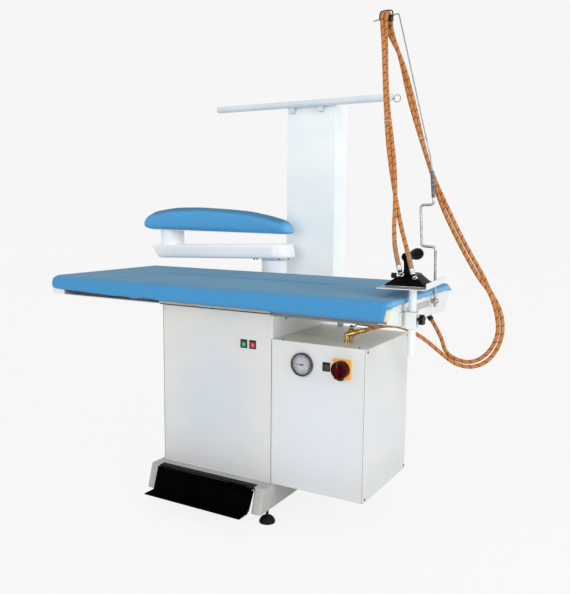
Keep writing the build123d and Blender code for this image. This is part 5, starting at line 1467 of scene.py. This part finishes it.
ARM_LEVELS = [(0.0, 0.0075), (0.035, 0.0032), (0.12, 0.0004), (0.30, 0.0), (0.72, 0.0), (0.90, 0.0005),
              (0.97, 0.0022), (1.0, 0.0055)]
arm_box = lofted("arm_box", [arm_outline(share, inset) for share, inset in ARM_LEVELS])
collar = turned("arm_collar", [(POST_RADIUS - 0.004, 0.0), (POST_RADIUS, 0.001), (POST_RADIUS, 0.020),
                               (POST_RADIUS - 0.004, 0.020)], (PIVOT.x, PIVOT.y, COLLAR_FOOT), UP, 64,
                loop=True)
post_foot = arm_under(UPPER_POST_X) + ARM_HEIGHT - 0.002
POST_HEIGHT = POST_TOP - post_foot
upper_post = turned("upper_post", [(POST_RADIUS - 0.003, 0.0), (POST_RADIUS + 0.0014, 0.0006),
                                   (POST_RADIUS + 0.0012, 0.0030), (POST_RADIUS, 0.0048),
                                   (POST_RADIUS, POST_HEIGHT), (POST_RADIUS - 0.003, POST_HEIGHT)],
                    (UPPER_POST_X, PIVOT.y, post_foot), UP, 64, loop=True)
fitted(joined("sleeve_arm_shell", [arm_box, collar, upper_post]), arm_white, "sleeve", "sleeve_arm")
print("the arm's upper post is", round(POST_HEIGHT, 4), "m high")

# %% Build the pad's base plate
PLATE_INSET, PLATE_THICKNESS = 0.017, 0.0026


def plate_height(x):
    return pad_floor((x - SLEEVE_LOW.x) / (SLEEVE_HIGH.x - SLEEVE_LOW.x))


def plate_ring(down, inset):
    """The plate's outline a little below the pad's underside."""
    outline = []
    left, right = PAD_LEFT + 0.034 + inset, PAD_RIGHT - 0.012 - inset
    for k in range(48):
        turn = 2 * pi * k / 48
        share = 0.5 + 0.5 * (abs(cos(turn)) ** 0.35) * (1 if cos(turn) >= 0 else -1)
        x = left + (right - left) * share
        half = WIDE + (NARROW - WIDE) * share - PLATE_INSET - inset
        outline.append(Vector((x, SLEEVE_Y + half * sin(turn), plate_height(x) - down)))
    return outline


base_plate = lofted("sleeve_base_plate", [plate_ring(0.0002, 0.001), plate_ring(0.0008, 0.0),
                                          plate_ring(PLATE_THICKNESS, 0.0), plate_ring(0.003, 0.001)])
fitted(base_plate, arm_white, "sleeve", "sleeve_base")
print("arm and plate ready")

# %% [markdown]
# ## Screws under the arm
# Pan-head screws hold the pivot plate to the arm's underside. Each is turned from a short profile
# with a raised washer, and its cross is two thin rods, because a bump would be lost at its size.

# %% Set the arm's screws
ARM_SCREWS = [(-0.143, 0.176), (-0.129, 0.176), (-0.030, 0.190), (-0.003, 0.222), (-0.143, 0.296),
              (-0.040, 0.288)]
ARM_SCREW_PROFILE = [(0.0, -0.001), (0.0052, -0.001), (0.0052, 0.0016), (0.0040, 0.0018), (0.0039, 0.0040),
                     (0.0032, 0.0052), (0.0, 0.0056)]
SCREW_SUNK, CROSS_REACH, CROSS_WIRE = 0.0006, 0.0022, 0.0005
heads = []
for number, (x, y) in enumerate(ARM_SCREWS):
    spot = Vector((x, y, arm_under(x) + SCREW_SUNK))
    heads.append(turned("arm_screw_head", ARM_SCREW_PROFILE, spot, -UP, 20))
    face = spot - UP * ARM_SCREW_PROFILE[-1][1]
    for turn in (radians(20 + 35 * number), radians(110 + 35 * number)):
        along = Vector((cos(turn), sin(turn), 0)) * CROSS_REACH
        heads.append(swept_tube("arm_screw_cross", [face - along, face + along], CROSS_WIRE, 6))
fitted(joined("sleeve_arm_screws", heads), screw_black, "sleeve", "panel_screws", replaces=False)
print("arm screws", len(ARM_SCREWS))

# %% [markdown]
# ## Painted shade under the board's edge
# Under the cover's hem the tray's front edge lies in shade, and thin folded strips swept along x paint that
# shade. Under the left half of the hem runs a dark strip of painted shade. Above the cabinet a pale grey
# strip is the tray's lip, its grey painted shade, with a black strip under it that is a painted shadow in the
# gap, and over the boiler a dark grey strip of painted shade runs on.

# %% Fold the strips
LIP_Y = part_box("board_tray")[0].y - 0.0003
DARK_LEFT, DARK_END, LIP_END, GREY_END = CABINET_LOW.x - 0.385, -0.150, 0.305, 0.672
RISE_LENGTH = 0.050
DARK_SECTION = [(0.0, 0.7630), (-0.0022, 0.7618), (-0.0030, 0.7635), (-0.0034, 0.7790), (0.0, 0.7795)]
PALE_SECTION = [(0.0, 0.7606), (-0.0020, 0.7602), (-0.0026, 0.7612), (-0.0026, 0.7715), (0.0, 0.7720)]
GAP_SHADOW_SECTION = [(0.002, 0.7598), (0.001, 0.7560), (0.010, 0.7545), (0.012, 0.7580)]
GREY_SECTION = [(0.0, 0.7604), (-0.0012, 0.7604), (-0.0012, 0.7525), (0.0, 0.7525)]


def strip(name, section, start, end, taper=0.0):
    """A strip along x. taper lifts its lower points over a length from its left end."""
    top = max(z for y, z in section)
    rings = []
    for x, rise in ((start, 0.92), (start + taper * 0.5, 0.414), (start + taper, 0.0), (end, 0.0)):
        lift = rise if taper else 0
        rings.append([Vector((x, LIP_Y + y, z + (top - z) * lift)) for y, z in section])
    return lofted(name, rings, smooth=False)


# painted shade: each strip's dark or grey colour stands for the shade under the hem
for name, section, start, end, taper, material in (
        ("tray_edge_painted_shade", DARK_SECTION, DARK_LEFT, DARK_END, RISE_LENGTH, dark_gasket_and_shade),
        ("tray_pale_lip", PALE_SECTION, DARK_END, LIP_END, 0.0, grey_gasket_and_lip_shade),
        ("tray_gap_painted_shadow", GAP_SHADOW_SECTION, DARK_END, LIP_END, 0.0, dark_gasket_and_shade),
        ("tray_lip_painted_shade", GREY_SECTION, LIP_END + 0.001, GREY_END, 0.0, shade_grey)):
    fitted(strip(name, section, start, end, taper), material, "machine", "board_tray", replaces=False)
print("strips ready")

# %% [markdown]
# ## The iron
# The iron is an all-steam iron: a thin bright sole under a black enamelled skirt shaped like a roof,
# a slanted post and a turned black grip with a bulb at its front. It stands on its rest at a small
# turn, so it is built in the rest's own directions: across, along and above its plate.

# %% Directions on the rest
REST_TURN = radians(5.4)
REST_PLACE = Vector((0.703, -0.238, 0.860))
IRON_REAR, IRON_LENGTH, IRON_HALF, IRON_U = -0.086, 0.205, 0.0625, -0.003
across_rest = Vector((cos(REST_TURN), sin(REST_TURN), 0))
along_rest = Vector((-sin(REST_TURN), cos(REST_TURN), 0))


def on_rest(u, v, h):
    """A point across, along and above the rest's plate, in millimetres."""
    return REST_PLACE + (across_rest * u + along_rest * v + UP * h) * MM


print("the rest's plate has its middle at", tuple(round(v, 3) for v in on_rest(0, 0, 0)))


# %% Build the sole and the skirt
def sole_ring(height, inset):
    """The sole's outline at a height: square at the rear, pointed at the front."""
    rear, nose = IRON_REAR + inset, IRON_REAR + IRON_LENGTH - inset * 1.2
    half, shoulder = IRON_HALF - inset, IRON_REAR + 0.070
    side = [(half * (1 - 0.03 * k / 5), rear + (shoulder - rear) * k / 5) for k in range(1, 6)]
    for k in range(1, 15):
        turn = pi / 2 * k / 14
        side.append((half * 0.97 * cos(turn) ** 0.86, shoulder + (nose - shoulder) * sin(turn)))
    corner = min(0.006, half * 0.3)
    right = [(half - corner, rear), (half - corner * 0.3, rear + corner * 0.3)] + side
    left = [(-u, v) for u, v in reversed(right[:-1])]
    return [on_rest((IRON_U + u) / MM, v / MM, height) for u, v in right + left]


SOLE_TOP, SKIRT_TOP, ROOF_FOOT = 2.6, 33.0, 4.2
sole = lofted("iron_sole_plate", [sole_ring(0.4, 0.0016), sole_ring(1.4, 0.0), sole_ring(SOLE_TOP, 0.0),
                                  sole_ring(SOLE_TOP + 0.4, 0.0008)])
skirt_rings = [sole_ring(SOLE_TOP + 0.1, 0.0009), sole_ring(SOLE_TOP + 0.3, 0.0003),
               sole_ring(SOLE_TOP + 3.0, 0.0003)]
for share in [k / 6 for k in range(7)]:
    skirt_rings.append(sole_ring(SOLE_TOP + ROOF_FOOT + (SKIRT_TOP - 6.6 - SOLE_TOP) * share,
                                 0.0018 + 0.030 * share ** 0.92))
skirt_rings += [sole_ring(SKIRT_TOP - 0.8, 0.0335), sole_ring(SKIRT_TOP, 0.0365)]
skirt = lofted("iron_skirt", skirt_rings)
for piece, material, node in ((sole, sole_metal, "iron_sole"), (skirt, iron_black, "iron_body")):
    fitted(rounded_edges(piece, 0.0004, 2, 30), material, "iron", node)
print("sole and skirt ready")

# %% [markdown]
# The grip is turned from one profile: a butt behind the post, a slim neck for the fingers and a bulb.
# The post is lofted between rounded squares, and it leans back a little towards the hoses.

# %% Build the handle
def rounded_square(centre, wide, deep, steps=6, corner=0.35):
    """Points around a square in the rest's directions, whose corners are rounded by a share."""
    ring = []
    for quarter in range(4):
        for k in range(steps):
            turn = pi / 2 * (quarter + k / steps)
            c, s = cos(turn), sin(turn)
            grow = max(abs(c), abs(s)) ** -(1 - corner)
            ring.append(centre + across_rest * (c * grow * wide / 2) + along_rest * (s * grow * deep / 2))
    return ring


POST_SECTIONS = [(-3, -42, 32, 34, 40), (-3, -42, 36, 32, 37), (-4, -43, 42, 24, 28), (-5, -45, 52, 17, 22),
                 (-7, -47, 70, 14, 20), (-9, -48, 88, 14, 21), (-9.5, -48, 98, 12, 19),
                 (-9.5, -48, 101, 6, 10)]
post = lofted("iron_post", [rounded_square(on_rest(u, v, h), w * MM, d * MM)
                            for u, v, h, w, d in POST_SECTIONS])
GRIP_START, GRIP_END = on_rest(-10, -52, 89), on_rest(2, 84, 94)
GRIP_PROFILE = [(0, -9), (6, -8), (11.0, -4), (13.0, 2), (13.2, 14), (12.8, 30), (12.4, 44), (12.8, 58),
                (14.2, 72), (16.4, 87), (18.3, 101), (18.9, 112), (17.8, 123), (14.0, 132), (7.6, 137),
                (0, 138.6)]


def scaled(profile):
    """A profile given in millimetres."""
    return [(r * MM, h * MM) for r, h in profile]


grip = turned("iron_grip", scaled(GRIP_PROFILE), GRIP_START, GRIP_END - GRIP_START, 40)
fitted(joined("iron_handle_grip", [post, grip]), grip_black, "iron", "iron_handle")
print("handle ready")

# %% [markdown]
# ## Hose ends and steam valve
# Each hose is crimped into a bright ferrule, screwed with a black nut to a short chrome bend that
# enters the skirt. The steam valve sits on the left bend and carries the black knob at its side.

# %% Build the fittings
FERRULE = [(0, -1.0), (6.3, -1.0), (7.7, -0.4), (7.9, 1.0), (7.9, 4.0), (7.1, 4.9), (7.9, 5.8), (7.9, 10.5),
           (7.1, 11.4), (7.9, 12.3), (7.9, 16.0), (7.0, 17.5), (0, 17.5)]
NUT = [(0, 17.2), (6.6, 17.2), (7.4, 18.0), (7.4, 22.4), (6.6, 23.2), (0, 23.2)]
COLLAR = [(0, -3), (7.0, -3), (7.4, -2), (7.4, 2), (6.6, 3), (0, 3)]
BARREL = [(0, 0.2), (5.6, 0.2), (6.6, 1.2), (6.6, 8.6), (5.4, 10), (0, 10)]
BENDS = {"cable_hose": [(-14, -66, 37), (-9, -56, 27)], "steam_hose": [(27, -72, 34), (30, -62, 24)]}
bright, nuts = [], []
for name, line in hose_lines.items():
    end = line[0]
    away = (end - line[3]).normalized()
    bright.append(turned("ferrule", scaled(FERRULE), end, away, 32))
    nuts.append(turned("nut", scaled(NUT), end, away, 6))
    start = end + away * 22 * MM
    middle, foot = (on_rest(*spot) for spot in BENDS[name])
    knee = (start + away * 9 * MM + middle) / 2
    path = [start * (1 - t) ** 2 + knee * 2 * t * (1 - t) + foot * t * t for t in [k / 10 for k in range(11)]]
    bright.append(swept_tube("bend", path, 5.0 * MM, 20))
    bright.append(turned("bend_collar", scaled(COLLAR), path[5], path[6] - path[5], 24))
bright.append(turned("valve_barrel", scaled(BARREL), on_rest(-28, -80, 34), across_rest, 28))
bright.append(swept_tube("valve_link", [on_rest(-21, -80, 34), on_rest(-16, -74, 36), on_rest(-11, -66, 35)],
                         4.2 * MM, 16))
fitted(shaded(joined("iron_hose_fittings", bright), True), bright_chrome, "iron", "iron_fittings")
fitted(shaded(joined("iron_hose_nuts", nuts), False), black_plastic, "iron", "iron_fittings", replaces=False)
print("fittings ready")

# %% [markdown]
# ## Spring of the whip
# Between the rod and the thin wand sits a close-wound spring, which lets the hoses pull the wand over.
# A helix is easy to sweep: one path with many turns about the line from the rod to the wand.

# %% Wind the spring
SPRING_START, SPRING_END = Vector((0.6990, -0.040, 1.1335)), Vector((0.6910, -0.040, 1.2225))
SPRING_COIL, SPRING_WIRE, SPRING_CORE = 0.0060, 0.00078, 0.0052


def helix(start, end, radius, turns, steps=14):
    """Points along a helix between two places."""
    axis = (end - start).normalized()
    side = axis.orthogonal().normalized()
    other = axis.cross(side)
    total = int(turns * steps)
    turned_by = [2 * pi * k / steps for k in range(total + 1)]
    return [start.lerp(end, k / total) + (side * cos(t) + other * sin(t)) * radius
            for k, t in enumerate(turned_by)]


core_axis = SPRING_END - SPRING_START
coil_turns = core_axis.length / (2 * SPRING_WIRE * 1.06)
coil = swept_tube("whip_coil", helix(SPRING_START, SPRING_END, SPRING_COIL, coil_turns), SPRING_WIRE, 6)
core_ends = 0.0005, core_axis.length - 0.0005
core = turned("coil_core", [(0, core_ends[0]), *((SPRING_CORE, h) for h in core_ends), (0, core_ends[1])],
              SPRING_START, core_axis, 20)
fitted(joined("whip_spring_coil", [coil, core]), spring_steel, "machine", "whip_spring")
print("spring turns", round(coil_turns))

# %% [markdown]
# ## Pressure gauge
# The gauge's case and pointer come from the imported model. Its dial is a thin disc with a scale: seven
# long marks, short ones between them and plain numbers. Marks are small raised bars and the numbers
# are text turned into mesh, so that they stay sharp at any size.

# %% Turn the dial
GAUGE_MID = mid("gauge_case")
DIAL_Y = -0.319
DIAL_RADIUS, SCALE_RADIUS, FIGURE_RADIUS = 0.0346, 0.0290, 0.0205
SCALE_START, SCALE_SWEEP, SCALE_MARKS, ARC_STEPS = radians(225), radians(-270), 6, 48
TOWARDS_FRONT = Vector((0, -1, 0))


def on_gauge(x, z, y=DIAL_Y):
    """A point right of and above the gauge's middle."""
    return Vector((GAUGE_MID.x + x, y, GAUGE_MID.z + z))


dial = turned("gauge_dial", [(0, -0.0002), (DIAL_RADIUS, -0.0002), (DIAL_RADIUS, 0.0003), (0.0018, 0.0004),
                             (0, 0.0004)], on_gauge(0, 0), TOWARDS_FRONT, 64)
fitted(dial, dial_white, "machine", "gauge_case", replaces=False)
print("dial's middle", tuple(round(v, 3) for v in on_gauge(0, 0)))


# %% Make marks and figures
def lettering(name, text, size, middle):
    """Plain figures as a thin mesh that faces the front, centred on a point."""
    curve = bpy.data.curves.new(name, "FONT")
    curve.body, curve.size, curve.extrude = text, size, 0.00012
    curve.align_x, curve.align_y = "CENTER", "CENTER"
    holder = in_scene(name, curve)
    holder.matrix_world = Matrix.Translation(middle) @ Matrix.Rotation(pi / 2, 4, "X")
    mesh = evaluated_mesh(holder)
    mesh.transform(holder.matrix_world)
    bpy.data.objects.remove(holder)
    return in_scene(name, mesh)


def dial_bar(angle, inner, outer, width):
    """A raised mark on the dial between two radii."""
    along, aside = Vector((cos(angle), 0, sin(angle))), Vector((-sin(angle), 0, cos(angle)))
    spots = [along * r + aside * side * width / 2
             for r, side in ((inner, -1), (outer, -1), (outer, 1), (inner, 1))]
    return lofted("dial_mark", [[on_gauge(0, 0, DIAL_Y - rise) + spot for spot in spots]
                                for rise in (0.0003, 0.0006)], smooth=False)


def dial_arc(start, end):
    """A short piece of the line that all marks stand on."""
    section = [(SCALE_RADIUS + r, rise) for r, rise in ((0, 0.0002), (0.0006, 0.0002), (0.0006, 0.0005),
                                                        (0, 0.0005))]
    return lofted("dial_arc", [[on_gauge(cos(a) * r, sin(a) * r, DIAL_Y - rise) for r, rise in section]
                               for a in (start, end)], smooth=False)


print("marks stand on a circle of", SCALE_RADIUS, "m")

# %% Draw the scale and fit the inner ring
marks = []
for step in range(SCALE_MARKS * 5 + 1):
    angle = SCALE_START + SCALE_SWEEP * step / (SCALE_MARKS * 5)
    length, width = (0.0016, 0.0004) if step % 5 else (0.0034, 0.0008)
    marks.append(dial_bar(angle, SCALE_RADIUS - length, SCALE_RADIUS, width))
    if step % 5 == 0:
        spot = on_gauge(cos(angle) * FIGURE_RADIUS, sin(angle) * FIGURE_RADIUS, DIAL_Y - 0.0005)
        marks.append(lettering("dial_figure", str(step // 5), 0.0062, spot))
for step in range(ARC_STEPS):
    marks.append(dial_arc(*(SCALE_START + SCALE_SWEEP * k / ARC_STEPS for k in (step, step + 1))))
print("marks, figures and arcs", len(marks))
fitted(joined("gauge_dial_marks", marks), dial_blue, "machine", "gauge_case", replaces=False)
inner_ring = turned("gauge_inner_ring", [(0.0340, 0.0002), (0.0349, 0.0002), (0.0349, 0.0050),
                                         (0.0340, 0.0044)], on_gauge(0, 0), TOWARDS_FRONT, 64, loop=True)
fitted(inner_ring, black_plastic, "machine", "gauge_case", replaces=False)

# %% [markdown]
# ## Isolator
# The main switch is a red knob on a yellow plate. Its plate carries the plain figures 0 and 1, and the
# knob has a raised dull line on its grip that shows which of them it points to.

# %% Mark the isolator
PLATE_MID = mid("isolator_body")
PLATE_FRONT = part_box("isolator_body")[0].y - 0.0001
KNOB_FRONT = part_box("isolator_knob")[0].y


def on_plate(x, z, y):
    """A point right of and above the isolator's middle."""
    return Vector((PLATE_MID.x + x, y, PLATE_MID.z + z))


figures = [lettering("plate_figure", text, 0.0085, on_plate(x, 0.0262, PLATE_FRONT))
           for text, x in (("0", -0.0265), ("1", 0.0265))]
fitted(joined("isolator_figures", figures), print_black, "machine", "isolator_body", replaces=False)
index_line = lofted("isolator_index", [[on_plate(x, z, KNOB_FRONT + y) for x, z in (
    (-0.0011, 0.010), (0.0011, 0.010), (0.0011, 0.0235), (-0.0011, 0.0235))] for y in (0.0002, -0.0002)],
                    smooth=False)
fitted(index_line, dull_red_ink, "isolator_knob", "isolator_knob", replaces=False)
print("isolator ready")

# %% [markdown]
# ## Treadle's flap
# The return spring sits in a window of the treadle. A black flap follows the treadle's barrel and
# face over the window, so that nothing is caught in the coil. It is one bent section, given as places
# across and up, that is drawn out along x.

# %% Fit the flap
PIN_MID = mid("treadle_pin")
SPRING_BOX, TREADLE_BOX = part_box("treadle_spring"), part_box("treadle")
TREADLE_LEAN = tan(radians(19.8))
FLAP_RADIUS, FLAP_WALL, FLAP_DROP, FLAP_LAP = 0.0089, 0.0009, 0.0165, 0.0072


def flap_line(radius):
    """The flap's section at one of its faces: round the barrel, then down along the treadle."""
    line = [(PIN_MID.y - radius * cos(turn), PIN_MID.z + radius * sin(turn))
            for turn in (radians(75 - 7.5 * k) for k in range(11))]
    return line + [(PIN_MID.y - radius - FLAP_DROP * TREADLE_LEAN, PIN_MID.z - FLAP_DROP)]


section = flap_line(FLAP_RADIUS) + flap_line(FLAP_RADIUS - FLAP_WALL)[::-1]
flap_ends = SPRING_BOX[0].x - FLAP_LAP, SPRING_BOX[1].x + FLAP_LAP
fitted(section_along_x("treadle_spring_flap", section, flap_ends), black_coat, "treadle", "treadle",
       replaces=False)
print("flap from", [round(x, 3) for x in flap_ends])

# %% [markdown]
# ## Rub strip and wings
# A dark rubber strip lies on the edge of the sill above the treadle, where a shoe rubs. It is an
# angle, so two bars with rounded edges make it, one on top of the sill and one in front. The
# treadle's sides are folded back as wings, each a thin plate with four corners.

# %% Lay the strip
SILL_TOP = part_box("base_frame")[1].z


def block(name, low, high):
    """A plain bar between two corners, with its edges rounded."""
    section = [(low[1], low[2]), (high[1], low[2]), (high[1], high[2]), (low[1], high[2])]
    bar = section_along_x(name, section, (low[0], high[0]))
    return rounded_edges(bar, min(b - a for a, b in zip(low, high)) * 0.3, 2)


def sill_bar(name, near, far, foot, top):
    """A bar over the treadle's width, behind its pin and near the sill's top."""
    return block(name, (TREADLE_BOX[0].x - 0.001, PIN_MID.y + near, SILL_TOP + foot),
                 (TREADLE_BOX[1].x + 0.001, PIN_MID.y + far, SILL_TOP + top))


strip_bars = [sill_bar("strip_top", 0.0092, 0.0320, 0.0001, 0.0016),
              sill_bar("strip_front", 0.0078, 0.0089, -0.0029, 0.0016)]
fitted(joined("sill_rub_strip", strip_bars), black_rubber, "machine", "base_frame", replaces=False)
print("rub strip lies on the sill at", round(SILL_TOP, 3))

# %% Fold the wings
WING_THICKNESS = 0.0012
WING_OUTLINE = ((0.004, 0.0022), (0.068, 0.0022), (0.068, 0.010), (0.004, 0.020))
outline = [(PIN_MID.y - 0.007 - drop * TREADLE_LEAN + behind, PIN_MID.z - drop)
           for drop, behind in WING_OUTLINE]
wings = [section_along_x("treadle_wing", outline, (x, x + WING_THICKNESS))
         for x in (TREADLE_BOX[0].x + 0.0001, TREADLE_BOX[1].x - 0.0013)]
fitted(joined("treadle_side_wings", wings), black_coat, "treadle", "treadle", replaces=False)
print("wings", len(wings))

# %% [markdown]
# ## Return spring of the treadle
# The coil stays on its pin while one leg goes down with the treadle. One mesh can't do both, so the
# spring is split where the leg leaves the coil: coil and upper leg stay with the machine, and the
# lower leg rides on the treadle. Its wire starts a little way round the coil and is a hair thicker,
# so that the joint stays closed while the treadle turns.

# %% Wind the return spring
RETURN_WIRE, RETURN_PITCH = 0.0012, 0.003
RETURN_COIL = SPRING_BOX[1].z - PIN_MID.z - RETURN_WIRE
RETURN_LEG_Z, RETURN_KNEE_Z = PIN_MID.z - 0.026, PIN_MID.z - 0.013
coil_low, coil_high = SPRING_BOX[0].x + RETURN_WIRE, SPRING_BOX[1].x - RETURN_WIRE
RETURN_TURNS = (coil_high - coil_low) / RETURN_PITCH


def on_coil(turns):
    """A point on the return spring's coil, a number of turns from its front."""
    turn = 2 * pi * turns
    return Vector((coil_low + RETURN_PITCH * turns, PIN_MID.y - RETURN_COIL * cos(turn),
                   PIN_MID.z + RETURN_COIL * sin(turn)))


steps = ceil(RETURN_TURNS * 20)
path = [on_coil(RETURN_TURNS * k / steps) for k in range(steps + 1)]
path.append(Vector((coil_high, SPRING_BOX[1].y, path[-1].z)))
return_coil = swept_tube("treadle_spring_coil", path, RETURN_WIRE, 8)
fitted(return_coil, dark_steel, "machine", "treadle_spring")
path = [on_coil(0.05), on_coil(0.025), on_coil(0.0),
        Vector((coil_low, PIN_MID.y - RETURN_COIL, RETURN_KNEE_Z)),
        Vector((coil_low, SPRING_BOX[0].y + RETURN_WIRE * 0.93, RETURN_LEG_Z))]
return_leg = swept_tube("treadle_spring_leg", path, RETURN_WIRE * 1.02, 8)
fitted(return_leg, dark_steel, "treadle", "treadle", replaces=False)
print("return spring turns", round(RETURN_TURNS, 2))

# %% [markdown]
# ## Gaskets between the panels
# Sheet-metal housings meet in narrow gaps. A dark gasket closes the one between cabinet and boiler,
# and two grey ones close the outer edges of the front. They are thin bars over the whole height.

# %% Fit the gaskets
CASING_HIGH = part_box("boiler_casing")[1]
GASKET_WIDTH, GASKET_DEPTH = 0.0018, 0.0006
GASKETS = (("panel_gasket_middle", CABINET_HIGH.x - 0.0029, CASING_HIGH.z, dark_gasket_and_shade, "front_panel"),
           ("panel_gasket_left", CABINET_LOW.x + 0.0027, CABINET_HIGH.z - 0.002, grey_gasket_and_lip_shade, "front_panel"),
           ("panel_gasket_right", CASING_HIGH.x - 0.0042, CASING_HIGH.z - 0.001, grey_gasket_and_lip_shade, "boiler_casing"))
for name, x, top, material, slot in GASKETS:
    gasket = block(name, (x, CABINET_LOW.y - GASKET_DEPTH, CABINET_LOW.z + 0.001),
                   (x + GASKET_WIDTH, CABINET_LOW.y + GASKET_DEPTH, top))
    fitted(gasket, material, "machine", slot, replaces=False)
print("gaskets", len(GASKETS))

# %% [markdown]
# ## Painted shade on the tray's end
# The tray's right end is folded twice, and under its rim, between the clamp of the iron rest and the socket
# of the whip, the fold lies in shade. A thin grey bar with rounded edges, standing just off the end, is that
# painted shade.

# %% Lay the painted shade
TRAY_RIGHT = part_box("board_tray")[1].x
# painted shade: a grey bar under the rim of the tray's end
recess = block("tray_end_painted_shade", (TRAY_RIGHT + 0.0001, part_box("rest_clamp")[1].y + 0.002, 0.7700),
               (TRAY_RIGHT + 0.0011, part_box("whip_socket")[0].y - 0.0015, 0.7915))
fitted(recess, recess_shade_grey, "machine", "board_tray", replaces=False)
print("recess", round(recess.dimensions.y, 3), "m long")

# %% [markdown]
# ## Hose keeper
# A black wire arch stands on the saddle and keeps both hoses from slipping along the wand. It is a
# tube swept over eight points, four on each side, with round corners.

# %% Bend the keeper
SADDLE, SADDLE_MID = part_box("hose_saddle"), mid("hose_saddle")
ARCH_TOP = max(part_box("steam_hose")[1].z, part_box("cable_hose")[1].z) + 0.0022
KEEPER_WIRE = 0.0022
arch = [Vector((SADDLE[0].x + x, SADDLE_MID.y - 0.002, z)) for x, z in (
    (-0.0030, SADDLE_MID.z), (-0.0032, ARCH_TOP - 0.012), (-0.0005, ARCH_TOP - 0.0035), (0.006, ARCH_TOP))]
arch += [Vector((SADDLE[0].x + SADDLE[1].x - p.x, p.y, p.z)) for p in arch[::-1]]
keeper = swept_tube("hose_keeper", smooth_line("hose_keeper", [p / MM for p in arch]), KEEPER_WIRE, 10)
fitted(keeper, black_plastic, "machine", "hose_saddle", replaces=False)
print("keeper ready")
